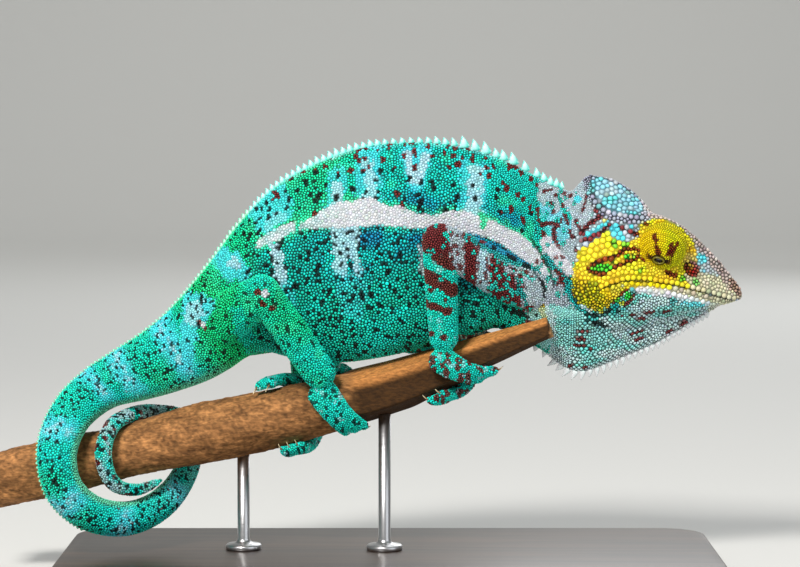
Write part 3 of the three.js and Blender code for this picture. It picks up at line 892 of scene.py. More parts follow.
@dataclass
class Chart:
    """One form of the skin, its surface as a function, and its unwrap."""

    region: Region
    place: Place
    length: float
    around: int
    along: int
    knee: tuple[float, float, float] = (0, 0, 1)

    def samples(self) -> tuple[Array, Array, Array, Array]:
        """Close points of the surface with their share of length, angle and radius.

        Returns:
            The points, shares, angles and radii.
        """
        rings = max(12, int(self.length / 0.5))
        turns = np.linspace(-np.pi, np.pi, 3 * self.around, False)
        t, angle = np.meshgrid((np.arange(rings) + 0.5) / rings, turns)
        t, angle = t.ravel(), angle.ravel()
        p = self.place(t, angle, np.ones(len(t)))
        axis = self.place(t, angle, np.zeros(len(t)))
        return p, t, angle, np.linalg.norm(p - axis, axis=1)

    def rows_of_scales(self, pitch: Callable[[Array], Array], steps: int = 400, turns: int = 181) -> Array:
        """Finds places for scales in even rows round the form.

        Args:
            pitch: the distance wanted between scales at points.
            steps: how many points measure its length.
            turns: how many measure the way round a row.

        Returns:
            The points.
        """
        grid_t = np.linspace(0.001, 0.999, steps)
        grid = [self.place(grid_t, np.full(steps, a), np.ones(steps)) for a in np.linspace(0, 2 * np.pi, 97)]
        grid = np.stack(grid, 1)
        strides = np.linalg.norm(np.diff(grid, axis=0), axis=2).mean(1)
        wanted = pitch(grid[:, ::8].reshape(-1, 3)).reshape(steps, -1).mean(1)
        rows = np.concatenate([[0], np.cumsum(strides / (ROW_SHARE * (wanted[1:] + wanted[:-1]) / 2))])
        found = []
        for n in range(1, int(rows[-1])):
            t = np.interp(n, rows, grid_t)
            ring = self.place(np.full(turns, t), np.linspace(0, 2 * np.pi, turns), np.ones(turns))
            so_far = travelled(ring)
            count = max(3, round(so_far[-1] / float(np.interp(t, grid_t, wanted))))
            share = (np.arange(count) + (n % 2) / 2) / count * so_far[-1]
            found.append(resampled(ring, so_far, share))
        return np.concatenate(found)


@dataclass(frozen=True)
class Fold:
    """A groove pressed into the skin along a line of the side plane."""

    depth: float
    width: float
    line: tuple[tuple[float, float], ...]
    beside: float = 1.0


FOLDS = (
    Fold(0.8, 1.1, ((49, 122.6), (52.1, 118.5), (55.2, 114.3), (57.9, 107.8), (58.6, 102))),
    Fold(0.45, 1.0, ((61.5, 124), (64.5, 116), (66.5, 109.5))),
    Fold(0.45, 1.0, ((52, 136), (55.5, 129), (56.5, 122))),
    Fold(0.4, 0.9, ((62, 96), (75, 93.5), (90, 93.5), (104, 94.5))),
    Fold(0.35, 0.9, ((60, 90), (75, 87.5), (92, 89), (106, 92))),
    Fold(0.35, 0.9, ((61, 83), (72, 81.5), (88, 84.5), (100, 88))),
    Fold(0.5, 1.0, ((44, 97), (50, 93.6), (56, 92))),
    Fold(0.4, 1.0, ((46, 91), (52, 87.4), (57, 86.4))),
    Fold(0.5, 1.0, ((75, 104.6), (71.6, 101.8), (70.4, 97.6), (73, 94))),
    Fold(0.9, 0.55, ((118.3, 108.9), (118.9, 108.9)), 2.0),
)


@dataclass
class Skin:
    """The one skin under all the scales, and the ways to look things up on it."""

    voxel: float = 0.8
    charts: list[Chart] = field(default_factory=list)

    def lay_out(self) -> None:
        """Lists every form of the animal."""

        def body(t: Array, angle: Array, reach: Array) -> Array:
            """Points of the body's and tail's skin."""
            tip = np.sqrt(1 - 0.9 * smooth(0.985, 1, t))
            return body_surface(t * LAST_STATION, angle, reach * tip, -COAT)

        def head(t: Array, angle: Array, reach: Array) -> Array:
            """Points of the head's skin."""
            return head_surface(mix(HEAD_FROM, HEAD_TO - COAT, t), angle, reach, -COAT)

        for turret in TURRETS:
            self.charts.append(Chart(Region.TURRET, turret.surface, 26, 48, 32))
        for leg in LEGS:
            for limb in leg.limbs():
                length = float(np.linalg.norm(np.subtract(limb.start, limb.end))) + 14
                stretch = 1 if leg.hind else UPPER_ARM / (leg.top[0] - leg.knee[0])
                knee = (*leg.knee[::2], stretch)
                self.charts.append(Chart(limb.region, limb.surface, length, 40, 56, knee))
        for bundle in BUNDLES:
            self.charts.append(Chart(bundle.region, bundle.mitten, 24, 28, 28))
            for n in range(bundle.count):
                self.charts.append(Chart(bundle.region, bundle.toe(n), 13, 14, 18))
        self.charts.append(Chart(Region.HEAD, head, 75, 72, 110))
        self.charts.append(Chart(Region.BODY, body, 520.0, 72, 620))

    def build(self) -> bpy.types.Object:
        """Joins every form into one closed skin.

        Returns:
            The skin's object.
        """
        bm = bmesh.new()
        for chart in self.charts:
            add_loft(bm, chart.place, chart.around, chart.along)
        rough = finish_mesh(bm, "rough_skin")
        remesh = rough.modifiers.new("one surface", "REMESH")
        remesh.mode = "VOXEL"
        remesh.voxel_size = self.voxel * MM
        remesh.use_smooth_shade = True
        relax = rough.modifiers.new("soft creases", "SMOOTH")
        relax.factor = 0.5
        relax.iterations = 3
        made = baked_copy(rough, "skin")
        self.fold(made.data)
        self.index(made.data)
        return made

    @staticmethod
    def fold(mesh: bpy.types.Mesh) -> None:
        """Presses the folds into the skin.

        Args:
            mesh: the skin's mesh.
        """
        p, normals = points_of(mesh), vectors(mesh.vertex_normals, "vector")
        for fold in FOLDS:
            behind = p[:, 0] - fold.line[0][0]
            near = (behind > -30) & (behind < 60) & (np.abs(p[:, 1]) > fold.beside)
            away = line_distance(p[:, 0], p[:, 2], fold.line)
            p -= normals * (fold.depth * np.exp(-((away / fold.width) ** 2)) * near)[:, None]
        mesh.vertices.foreach_set("co", (p * MM).astype(np.float32).ravel())
        mesh.update()

    def index(self, mesh: bpy.types.Mesh) -> None:
        """Prepares the look-ups on the finished skin.

        Args:
            mesh: the skin's mesh.
        """
        self.points, self.normals = points_of(mesh), vectors(mesh.vertex_normals, "vector")
        self.faces = [tuple(p.vertices) for p in mesh.polygons]
        self.tree = BVHTree.FromPolygons([tuple(p) for p in self.points], self.faces)
        parts = [chart.samples() for chart in self.charts]
        self.sample_chart = np.concatenate([np.full(len(p[0]), n) for n, p in enumerate(parts)])
        points, *self.samples = (np.concatenate(values) for values in zip(*parts))
        self.sample_tree = grown_tree(points)

    def settle_on(self, p: Array) -> tuple[Array, Array]:
        """Moves points onto the skin.

        Args:
            p: points near it.

        Returns:
            The nearest points of the skin and the faces they lie on.
        """
        found = [self.tree.find_nearest(q) for q in p]
        return np.array([f[0] for f in found]), np.array([f[2] for f in found])

    def normals_at(self, faces: Array) -> Array:
        """Smooth outward directions at faces."""
        return unit(np.array([self.normals[list(self.faces[f])].mean(0) for f in faces]))

    def unwrap(self, p: Array) -> "Unwrapped":
        """Finds points in the charts.

        Args:
            p: the points.

        Returns:
            The points with their places in the charts.
        """
        nearest = np.array([self.sample_tree.find(q)[1] for q in p])
        chart = self.sample_chart[nearest]
        region, length, knee = (
            np.array(values)[chart]
            for values in zip(*((ORDER[c.region], c.length, c.knee) for c in self.charts))
        )
        on_limb = (p[:, ::2] - knee[:, :2]) * np.stack([knee[:, 2], np.ones(len(p))], 1)
        return Unwrapped(p, chart, *(values[nearest] for values in self.samples), region, length, on_limb)


@dataclass
class Unwrapped:
    """Points of the skin with their chart, place on it, region, its length and limb place."""

    p: Array
    chart: Array
    t: Array
    angle: Array
    radius: Array
    region: Array
    length: Array
    on_limb: Array

    def within(self, *regions: Region) -> Array:
        """Which points lie in those regions."""
        return np.isin(self.region, [ORDER[r] for r in regions])

    def on_left(self, shift: float) -> Array:
        """A shift for points of the left side, so that the two sides' scatters differ."""
        return np.where(self.p[:, 1] > 0, shift, 0.0)

    @property
    def x(self) -> Array:
        """Places along the animal."""
        return self.p[:, 0]

    @property
    def z(self) -> Array:
        """Heights."""
        return self.p[:, 2]

    @property
    def flat(self) -> Array:
        """Places in the side plane."""
        return self.p[:, ::2]

    @property
    def along(self) -> Array:
        """Distance along the form."""
        return self.t * self.length

    @property
    def across(self) -> Array:
        """Distance round the form from its back."""
        return self.angle * self.radius


# ---------------------------------------------------------------- colours and markings
class Tint(Enum):
    """The animal's colours."""

    EMERALD = (5, 212, 122)
    GREEN = (5, 216, 152)
    MINT = (56, 240, 172)
    SEA = (5, 200, 184)
    TURQUOISE = (14, 220, 204)
    TEAL = (12, 176, 172)
    BLUE = (14, 118, 186)
    SKY = (78, 222, 238)
    PALE_BLUE = (176, 220, 232)
    WHITE = (209, 212, 218)
    CHALK = (232, 232, 236)
    SILVER = (178, 198, 206)
    LILAC = (150, 154, 172)
    MAROON = (118, 2, 0)
    RED = (188, 18, 10)
    NEAR_BLACK = (6, 3, 7)
    YELLOW = (252, 224, 4)
    AMBER = (244, 186, 10)
    LIME = (216, 226, 10)
    MUSTARD = (222, 208, 12)
    OLIVE = (120, 134, 20)
    LEAF = (36, 214, 48)
    CREAM = (208, 206, 172)
    PLATE = (124, 194, 210)
    SNOUT = (190, 174, 166)
    TIP = (172, 136, 118)
    THROAT = (190, 224, 226)
    BELLY = (110, 206, 164)

    @property
    def light(self) -> Array:
        """The colour as light values."""
        return linear(*self.value)


@dataclass(frozen=True)
class Patch:
    """A patch of colour drawn in the side plane: a closed outline, or a line with a half-width."""

    tint: Tint
    outline: Outline
    half: float = 0.0
    strength: float = 0.95
    ragged: float = 0.7

    def weight(self, x: Array, z: Array, rough: Array) -> Array:
        """How strongly points take the colour.

        Args:
            x: the points' places along the animal.
            z: their heights.
            rough: noise that frays the edge.

        Returns:
            Weights from 0 to 1.
        """
        if self.half:
            depth = self.half - line_distance(x, z, self.outline)
        else:
            closed = self.outline + self.outline[:1]
            inside = np.zeros(len(x), bool)
            for (ax, az), (bx, bz) in zip(closed, closed[1:]):
                inside ^= ((az > z) != (bz > z)) & (x < (bx - ax) * (z - az) / (bz - az + 1e-9) + ax)
            nearest = line_distance(x, z, closed)
            depth = np.where(inside, nearest, -nearest)
        return self.strength * smooth(-0.2, 0.2, depth + self.ragged * rough)


def lines(
    tint: Tint, half: float, *strokes: Outline, strength: float = 0.95, ragged: float = 0.35
) -> list[Patch]:
    """Drawn lines of colour."""
    return [Patch(tint, stroke, half, strength, ragged) for stroke in strokes]


def dots(tint: Tint, radius: float, *middles: tuple[float, float], strength: float = 0.95) -> list[Patch]:
    """Round spots of colour."""
    return [Patch(tint, ((x - 0.1, z), (x + 0.1, z)), radius, strength, 0.5) for x, z in middles]


def areas(tint: Tint, *outlines: Outline, strength: float = 0.95, ragged: float = 0.8) -> list[Patch]:
    """Closed patches of colour."""
    return [Patch(tint, outline, 0.0, strength, ragged) for outline in outlines]


TRUNK_PATCHES = (
    *areas(Tint.SKY, ((-12, 153), (-4, 153), (-3, 144), (-3.6, 134), (-11.8, 134), (-12.6, 143)),
        ((-51, 130), (-45, 137.4), (-38.4, 139.6), (-34.6, 134), (-35.6, 127.6), (-41, 124.4),
        (-47, 121.6)), ragged=2, strength=0.7),
    *areas(Tint.PALE_BLUE, ((-10, 148), (-5.6, 148), (-4.6, 140), (-4.6, 133), (-10.4, 133), (-8.6, 141)),
        ragged=2, strength=0.7),
    *areas(Tint.SKY, ((3.4, 153.4), (15, 153.4), (14.4, 146), (12, 139), (7, 138.4), (4.4, 146)),
        ragged=1.3, strength=0.8),
    *areas(Tint.PALE_BLUE, ((4.6, 152), (8, 152), (8, 145.6), (10, 145.6), (11.4, 152), (14.4, 151),
        (12.8, 144), (10.4, 139.6), (7.6, 140), (5.8, 146))),
    *areas(Tint.SKY, ((24.4, 150), (35.4, 147), (34.4, 136), (33.6, 128), (24.4, 129), (25.4, 140)),
        ((-22.6, 145), (-16, 147), (-15.4, 133), (-24, 131), (-22, 138)), ragged=2, strength=0.6),
    *areas(Tint.PALE_BLUE, ((28, 147), (33, 146), (32.8, 136), (32.8, 128), (25.4, 129), (27.4, 137)),
        ragged=2, strength=0.8),
    *areas(Tint.PALE_BLUE, ((-20.4, 141), (-17.6, 142), (-16.4, 133), (-22, 131.6), (-20.4, 136)),
        ragged=1.3, strength=0.8),
    *areas(Tint.PALE_BLUE, ((-46, 124.5), (-41, 129), (-38.5, 132), (-37.4, 128), (-41, 124.4)), ragged=2,
        strength=0.35),
    *areas(Tint.SKY, ((-65, 114), (-58, 118), (-53.6, 115), (-50, 109), (-49, 104), (-55.5, 105),
        (-61, 108)), ragged=2, strength=0.8),
    *areas(Tint.PALE_BLUE, ((-58.5, 112), (-55.5, 115), (-52.8, 112.5), (-54, 108.6)), ((-22, 127),
        (-11.4, 126.4), (-11, 118), (-9.8, 110), (-12, 108), (-14.4, 114), (-16.4, 107), (-19.6, 110),
        (-20.6, 118)), ragged=2, strength=0.8),
    *areas(Tint.PALE_BLUE, ((-43, 119), (-38.6, 119), (-37, 110), (-37.6, 103), (-41, 107)), ragged=1.3),
    *areas(Tint.SKY, ((-40, 105), (-35, 105), (-33, 96), (-35.6, 90), (-39, 97)), ragged=2, strength=0.45),
    *areas(Tint.SKY, ((-20, 109), (-9, 109), (-7, 99), (-11, 91), (-17, 94)), ragged=3, strength=0.35),
    *areas(Tint.SILVER, ((10, 119), (12.6, 119), (12.4, 108), (10.4, 109)), ragged=1.3, strength=0.8),
    *areas(Tint.TEAL, ((24, 123), (33, 121.6), (41, 118), (47, 113), (51, 108), (52, 101), (44, 106),
        (30, 114))),
    *lines(Tint.BLUE, 1.7, ((27, 121.4), (36, 118.6), (44, 114)), ragged=1.3, strength=0.6),
    *lines(Tint.NEAR_BLACK, 0.8, ((40, 117.4), (45, 114.2), (49.4, 110)), ragged=0.8),
    *lines(Tint.MAROON, 0.45, ((34, 119.4), (37, 117.6)), ragged=0.8),
    *areas(Tint.THROAT, ((49, 99), (57, 101), (60, 88), (56, 80), (51, 84), (48, 90)), ragged=1.3,
        strength=0.6),
    # A near-black line below the shoulder, painted shade in the crease between the arm and the chest.
    *lines(Tint.NEAR_BLACK, 0.6, ((44, 95.5), (49, 93.4)), ragged=0.8),
    *lines(Tint.MAROON, 0.8, ((50, 99), (55, 97.4)), ragged=0.8),
    *lines(Tint.MAROON, 0.6, ((49, 91.4), (55, 88.6)), ragged=0.8),
    *lines(Tint.MUSTARD, 1.2, ((49.4, 98.4), (53.6, 97.4), (55.4, 93.6)), ragged=1.3, strength=0.45),
    *areas(Tint.BELLY, ((-67, 77), (-60, 77.6), (-52, 76), (-52, 68), (-68, 68)), ragged=1.3,
        strength=0.8),
)
STRIPE_PATCHES = (*lines(Tint.MINT, 1.1, ((32.4, 129), (33.4, 127), (33, 125.2)), ragged=0.7),)
HIP_PATCHES = (
    *areas(Tint.SKY, ((-75, 100.4), (-68, 102), (-62, 98.4), (-64, 93), (-68, 88.6), (-69.6, 80),
        (-71.6, 72), (-75.4, 74), (-74, 88)), ragged=2, strength=0.8),
    *areas(Tint.PALE_BLUE, ((-72, 98), (-67, 99), (-66, 94), (-70, 90), (-72.6, 92)), ragged=2,
        strength=0.6),
    *areas(Tint.MINT, ((-64, 112), (-60, 110), (-61, 102), (-66, 100), (-68, 104)), ragged=2,
        strength=0.45),
    *dots(Tint.WHITE, 1, (-66.6, 90.2)),
    *dots(Tint.MAROON, 0.8, (-68, 91.4)),
    *dots(Tint.MAROON, 0.6, (-65.4, 89)),
    *areas(Tint.TURQUOISE, ((-57, 97), (-52, 97), (-49, 88), (-51, 80), (-55, 86)), ragged=2,
        strength=0.6),
)
NECK_PATCHES = (
    *areas(Tint.SILVER, ((53, 141), (58, 142), (66, 138.5), (70, 142.5), (72.4, 135), (77, 128.5),
        (75, 124), (70, 121), (67, 116), (65.2, 110), (60.5, 104.5), (57.5, 108.5), (54.5, 114), (53, 121),
        (52.5, 130))),
    *areas(Tint.SKY, ((52.3, 133.6), (58, 130.5), (64, 131.6), (65.4, 125), (61, 119), (57, 117.4),
        (51.6, 121)), ragged=2, strength=0.7),
    *areas(Tint.TURQUOISE, ((52, 130), (55.4, 129), (56.6, 122), (53, 118), (51, 122)), ragged=1.3,
        strength=0.7),
    *lines(Tint.TEAL, 1.7, ((56, 114.6), (60, 109.6), (64, 104.6), (66.6, 98)), ragged=1.3),
    *lines(Tint.SEA, 1.2, ((51.5, 134), (53, 127), (53.4, 121)), ragged=1.3),
    *lines(Tint.SEA, 0.6, ((60.4, 136.4), (61.8, 132), (64.6, 128)), ragged=0.8),
    *lines(Tint.MAROON, 0.8, ((54.2, 125.6), (57.6, 126.6), (60.2, 125.4)), ((58.6, 124.4), (58.8, 120),
        (61, 116.4)), ((54.6, 123), (55, 119.4)), ((64.4, 104), (66, 100))),
    *lines(Tint.MAROON, 0.6, ((52.6, 131.4), (53, 127.2)), ((62.4, 129), (63.4, 126.2)), ((66, 126.8),
        (67.6, 124.8)), ((55, 137.6), (58, 138.2)), ((72.4, 133.2), (73.6, 130.4))),
    *lines(Tint.MAROON, 0.45, ((64, 124), (64.4, 121.6))),
    *dots(Tint.MAROON, 0.8, (57.5, 133.4)),
    *dots(Tint.MAROON, 0.6, (61.8, 132.4), (59.4, 136.2), (64.6, 135.8)),
    *dots(Tint.SKY, 1.3, (67.2, 134.8)),
    *lines(Tint.MAROON, 0.45, ((70.6, 136.6), (68.8, 130.2))),
    *lines(Tint.MAROON, 0.8, ((59.4, 109.6), (62.6, 104.2)), ragged=0.8),
    *lines(Tint.NEAR_BLACK, 0.6, ((62.6, 108.4), (65.4, 105.4))),
    *lines(Tint.WHITE, 2.1, ((55.6, 119.6), (60, 114), (64.6, 109.2)), ragged=0.8),
    *lines(Tint.SILVER, 1.7, ((62, 118), (66, 113.4)), ragged=0.8, strength=0.8),
    # A near-black line along the neck's deepest fold, painted shade in its crease.
    *lines(Tint.NEAR_BLACK, 0.45, ((50.8, 120), (54.3, 114.6), (57.2, 109.3), (58.4, 103.6)), ragged=0.1,
        strength=0.8),
)
HEAD_PATCHES = (
    *areas(Tint.TURQUOISE, ((58, 98), (70, 95), (77, 90), (80, 85), (72, 79.5), (60, 82)), ragged=2,
        strength=0.45),
    *areas(Tint.YELLOW, ((65.4, 111.6), (67, 116.4), (72.7, 120), (76, 122.8), (80, 121.2), (84, 119.8),
        (88, 122), (90, 126.6), (94, 128.4), (99, 127.6), (103.6, 125), (107.6, 120.6), (109.6, 116),
        (109.6, 110.4), (112, 104.8), (112, 100.8), (100, 103.2), (92, 104.4), (85, 105), (79, 104),
        (74.5, 102), (70, 99.8), (65.6, 103), (65, 108.5))),
    *areas(Tint.AMBER, ((66, 108), (74, 107.4), (86, 109.4), (100, 107), (100, 105.6), (84, 107),
        (74, 104), (67, 105)), strength=0.35),
    *areas(Tint.MUSTARD, ((64.4, 108.6), (64.2, 103), (65.4, 98.6), (70.8, 95.8), (77, 93.8), (81, 97),
        (83.4, 101.4), (84.6, 104.4), (80, 105), (75, 103.2), (70, 102.6))),
    *areas(Tint.YELLOW, ((66.4, 106), (67.4, 101), (71.4, 97.6), (76.4, 96), (79, 99), (78, 102.6),
        (73, 103.4), (69, 105.4)), strength=0.8),
    *lines(Tint.TEAL, 1.2, ((63.4, 106), (63.6, 101.6), (66, 97.4), (70.4, 94.6)), ragged=1.3),
    *lines(Tint.NEAR_BLACK, 0.45, ((64.4, 102), (66.4, 98)), ragged=0.8, strength=0.8),
    *areas(Tint.CREAM, ((105.4, 108.4), (112.6, 109.4), (119, 107), (127.5, 101.6), (127.5, 98),
        (117, 100.2), (109.6, 102.6), (106, 103.4)), ragged=1.3),
    *areas(Tint.SILVER, ((109.6, 119.4), (113, 116), (115.4, 111), (113.6, 107.6), (110.6, 110.4),
        (109.6, 115))),
    *areas(Tint.SNOUT, ((104.6, 125.6), (110, 122), (116, 116), (121, 111), (127.8, 103.6), (127.8, 99.6),
        (124.2, 100), (120.4, 104.6), (115.6, 110.4), (111, 115.6), (107.4, 120.6))),
    *areas(Tint.TIP, ((121.8, 106.6), (124.4, 107), (128, 103), (128, 99.4), (124.4, 99.8), (122, 102.6)),
        strength=0.8),
    *lines(Tint.SNOUT, 1.2, ((91.6, 129.2), (98.6, 129), (103, 126.8), (107.4, 123), (111.8, 119),
        (115.7, 115.4))),
    *lines(Tint.LIME, 0.8, ((88.6, 125.6), (93, 127.2), (98.4, 127.2), (103, 124.6), (107.6, 119.6)),
        strength=0.6),
    *areas(Tint.PLATE, ((70.6, 142.6), (73.4, 135.4), (78.6, 129.6), (90.4, 129.4), (93, 130.6),
        (88.5, 135.4), (84, 139), (79.5, 141.6), (74.5, 143.4))),
    *lines(Tint.LILAC, 1.4, ((70.4, 142), (72.5, 134.6), (78, 128.6), (85.4, 128), (90.4, 128.6))),
    *lines(Tint.LILAC, 0.8, ((69, 142), (75, 143.4), (80, 142), (86, 138.8), (91, 134), (94, 130.6))),
    *lines(Tint.MAROON, 0.8, ((74.9, 128.8), (71, 126), (68.6, 122.8)), ((78, 125.8), (74.4, 122.8),
        (69.2, 120.2)), ragged=0.8),
    *lines(Tint.SKY, 0.8, ((69.9, 121.9), (74.4, 124.4), (77, 126.8))),
    *dots(Tint.YELLOW, 0.8, (76.6, 127.6), strength=0.7),
    *dots(Tint.SKY, 1.7, (79.9, 124.4)),
    *dots(Tint.SKY, 1.3, (82.2, 121.6)),
    *dots(Tint.LEAF, 1.3, (79.6, 119.4), (83.4, 118.6), strength=0.8),
    *dots(Tint.LIME, 1.3, (77.4, 122.4), strength=0.8),
    *lines(Tint.MAROON, 0.8, ((82, 125.2), (84.8, 123.2), (88.3, 122)), ragged=0.8),
    *dots(Tint.SKY, 0.8, (85.4, 125.2)),
    *lines(Tint.MAROON, 0.6, ((90.6, 126.4), (92.6, 126.2))),
    *lines(Tint.LEAF, 1.4, ((73, 110.2), (77.4, 110.8))),
    *dots(Tint.LEAF, 1, (84.2, 114.6)),
    *dots(Tint.LEAF, 0.8, (79.2, 112.6), (86.6, 114.8), strength=0.7),
    *lines(Tint.MAROON, 0.8, ((71.8, 112), (75.5, 113.4), (78.2, 114.3), (81, 115.2), (83.2, 117),
        (87.6, 117.3), (89.6, 115.8), (90, 113.4)), ((70.2, 110.2), (72.2, 109), (75.5, 108.4),
        (78.2, 109.6), (80.4, 111.4), (84.4, 112.6), (87.4, 113.6), (89, 115.8))),
    *lines(Tint.LEAF, 0.45, ((86.6, 110.6), (88.4, 109.4), (90, 110.4)), strength=0.7),
    *areas(Tint.MAROON, ((104.8, 113.2), (108.4, 112.6), (110.8, 110.6), (109.8, 107.8), (106.8, 107.4),
        (104.8, 109.4))),
    *areas(Tint.RED, ((106, 112.4), (109.2, 111.4), (108.6, 109), (106.6, 108.8)), ragged=1.3,
        strength=0.8),
    *lines(Tint.MAROON, 1, ((98.6, 109), (101.6, 107.4))),
    *dots(Tint.LEAF, 1.3, (104.4, 106.8), strength=0.8),
    *dots(Tint.LEAF, 1, (109.4, 105.4), strength=0.7),
    *dots(Tint.SKY, 1.9, (111.6, 113.4)),
    *dots(Tint.SKY, 0.8, (112, 109.6), strength=0.7),
    *dots(Tint.MAROON, 0.6, (107, 117.4), strength=0.8),
    *lines(Tint.AMBER, 0.45, ((92, 126.4), (97, 127.4)), strength=0.45),
    *lines(Tint.TEAL, 1.4, ((71, 92.4), (76.2, 93.6), (80.2, 96.4), (83, 99.4), (88, 102)), ragged=1.9,
        strength=0.8),
    *lines(Tint.SEA, 0.8, ((80, 94.4), (84, 97), (88, 99)), ragged=1.9, strength=0.7),
    *lines(Tint.NEAR_BLACK, 0.45, ((70, 94), (74.4, 93.4), (78.4, 95.4)), ((72, 90.6), (77, 91)),
        ragged=0.8),
    *lines(Tint.MAROON, 0.6, ((79.6, 98.6), (82, 101.4), (84.6, 102.8)), ((83.4, 97), (86, 99.4),
        (87.6, 102)), ragged=0.8),
    *dots(Tint.LEAF, 1.3, (84.6, 101)),
    *dots(Tint.LEAF, 0.8, (80.8, 99.6), strength=0.8),
    *dots(Tint.LIME, 0.8, (82.6, 98), strength=0.8),
    *dots(Tint.NEAR_BLACK, 0.6, (88.4, 100.6)),
    *dots(Tint.TEAL, 1.3, (80.2, 96.8)),
    *dots(Tint.NEAR_BLACK, 0.8, (81.6, 95.2)),
    # The dot at 118.8, 109 sits in the nostril, painted shade in its pit.
    *dots(Tint.MAROON, 0.6, (82.8, 93.4), (118.8, 109)),
    *areas(Tint.TEAL, ((96.6, 101.4), (99.6, 101.4), (103, 98.6), (101, 97.4), (97.4, 99.6)), ragged=1.3,
        strength=0.8),
    *dots(Tint.NEAR_BLACK, 0.6, (99.4, 100.2)),
    *lines(Tint.YELLOW, 1.2, ((84, 104.8), (92.5, 104.4), (99.6, 103.2))),
    *lines(Tint.CHALK, 1.4, ((89, 102.8), (100.8, 101.4), (108, 99.8), (113, 98.8)), strength=0.8),
    *lines(Tint.CREAM, 1.2, ((101, 102.6), (117, 98.7), (126, 96.8))),
    # The mouth's slit is a thin near-black line, painted shade between the lips.
    *lines(Tint.NEAR_BLACK, 0.3, (*MOUTH[2:-1],), ragged=0.05, strength=0.8),
    *lines(Tint.SKY, 0.8, ((104, 98.6), (112, 96.8)), ragged=1.3, strength=0.8),
    *areas(Tint.CREAM, ((116, 99.4), (126, 98), (126, 95), (119, 93.6), (113.6, 94.6)), ragged=1.3,
        strength=0.6),
    *lines(Tint.NEAR_BLACK, 0.45, ((70, 91.6), (74, 91.2)), ((73, 90), (77.6, 89.6)), ragged=0.1),
    *lines(Tint.MAROON, 0.6, ((67, 88), (71, 87.6)), ((66, 85.2), (69.6, 84.8)), ((66.4, 82.4),
        (69.4, 82)), ((85.4, 93.4), (87.4, 93.8)), ((91, 94.2), (94, 94.8)), ((88.6, 92), (91, 92.4)),
        ((97.6, 94.4), (100, 95)), ((86, 86.4), (90, 87.6)), ((88.4, 83.8), (90.6, 84.8)), ((99.4, 86.6),
        (101.4, 87.6)), ((104.8, 89.8), (106.6, 90.8))),
    *dots(Tint.MAROON, 0.8, (72.2, 80.6), (70.4, 74.4), (64.8, 74.6)),
)
FORE_UPPER_PATCHES = (
    *areas(Tint.TURQUOISE, ((-9, 4), (-4.6, 4), (-4, -4), (-9, -7))),
    *areas(Tint.MAROON, ((-5.8, 3), (-2.1, 7), (2, 6.4), (3.6, 1), (3.2, -6), (4.2, -13), (-0.3, -13),
        (-3.9, -9), (-6.6, -4.2)), ((8.4, 3), (12.6, 1), (13.6, -6), (13, -14), (12.6, -19), (9.4, -17),
        (8.6, -12), (8.8, -6))),
    *areas(Tint.PALE_BLUE, ((13.4, 0), (17.2, -2), (17.8, -10), (17.4, -20), (13.6, -19), (13.8, -8)),
        strength=0.7),
    *areas(Tint.MAROON, ((17.6, -4), (20.6, -5.6), (23, -10), (27, -13.4), (29, -18.6), (29, -25),
        (22.2, -27), (17.9, -20.4), (17.6, -12)), ragged=1.3),
    *areas(Tint.SILVER, ((24, -8), (28, -8.6), (33, -10), (37, -16), (38, -24), (33, -26), (30, -22),
        (28, -14))),
    *areas(Tint.TURQUOISE, ((26, -9), (31, -10.6), (34.6, -13.4), (33, -15), (29, -12.6)), ragged=1.3,
        strength=0.7),
    *lines(Tint.NEAR_BLACK, 0.45, ((34, -11.6), (37, -16), (38.6, -21), (38.2, -26)), ragged=0.8),
    *lines(Tint.MAROON, 0.6, ((30.4, -22.6), (33, -26), (36.6, -28)), ragged=1.3),
    *lines(Tint.TEAL, 0.6, ((27.6, -14), (29.6, -19.4), (31, -23)), ragged=1.9),
    *lines(Tint.MAROON, 0.45, ((28.4, -12), (30.6, -17)), ragged=1.9),
    *areas(Tint.TEAL, ((8, 6), (9, 0.6), (13.2, -2), (17.7, -4.2), (22.2, -7.4), (27, -9.4), (31, -10),
        (35, -12), (39, -14), (39, 3))),
    *lines(Tint.BLUE, 1.4, ((14, 1), (21, -2.6), (28, -6), (35, -8.6)), ragged=0.8, strength=0.6),
    *lines(Tint.MAROON, 0.6, ((21.4, -7.8), (26.4, -10.2), (30.6, -11.2), (33, -13)), ((29.4, -25.6),
        (33, -24)), ragged=0.8),
    *lines(Tint.NEAR_BLACK, 0.8, ((24.6, -5.4), (27, -6.6)), ((30, -8.8), (32.4, -10)), ragged=0.8),
    *dots(Tint.NEAR_BLACK, 0.8, (19.4, -2.6)),
    *dots(Tint.MAROON, 0.8, (15, -0.6)),
    *lines(Tint.MAROON, 0.6, ((2, -15), (8, -20), (14, -24), (20, -28)), ragged=1.3),
)
FORE_LOWER_PATCHES = (
    *lines(Tint.MAROON, 2.4, ((-4.4, -1.4), (3.6, -8)), ((-6.6, -11), (4.8, -17.4)), ragged=0.8),
    *lines(Tint.MAROON, 1.4, ((-6.2, -21.6), (-2, -23), (3.4, -25)), ragged=0.8),
    *dots(Tint.MAROON, 0.8, (-3, -17.6), (2.2, -21)),
    *dots(Tint.MAROON, 1, (-2.6, -33.4), (1.6, -34.6)),
    *dots(Tint.TURQUOISE, 0.8, (0.6, -13.6)),
)
TURRET_PATCHES = (
    *lines(Tint.MAROON, 0.95, ((93.7, 122.6), (94.1, 119), (95, 115.4)), ragged=0.8),
    *lines(Tint.MAROON, 0.45, ((101.8, 119.6), (100.6, 117.8), (99.8, 115.2)),
        ((99.6, 119), (98.6, 117), (97.8, 115)), ragged=1.2),
)
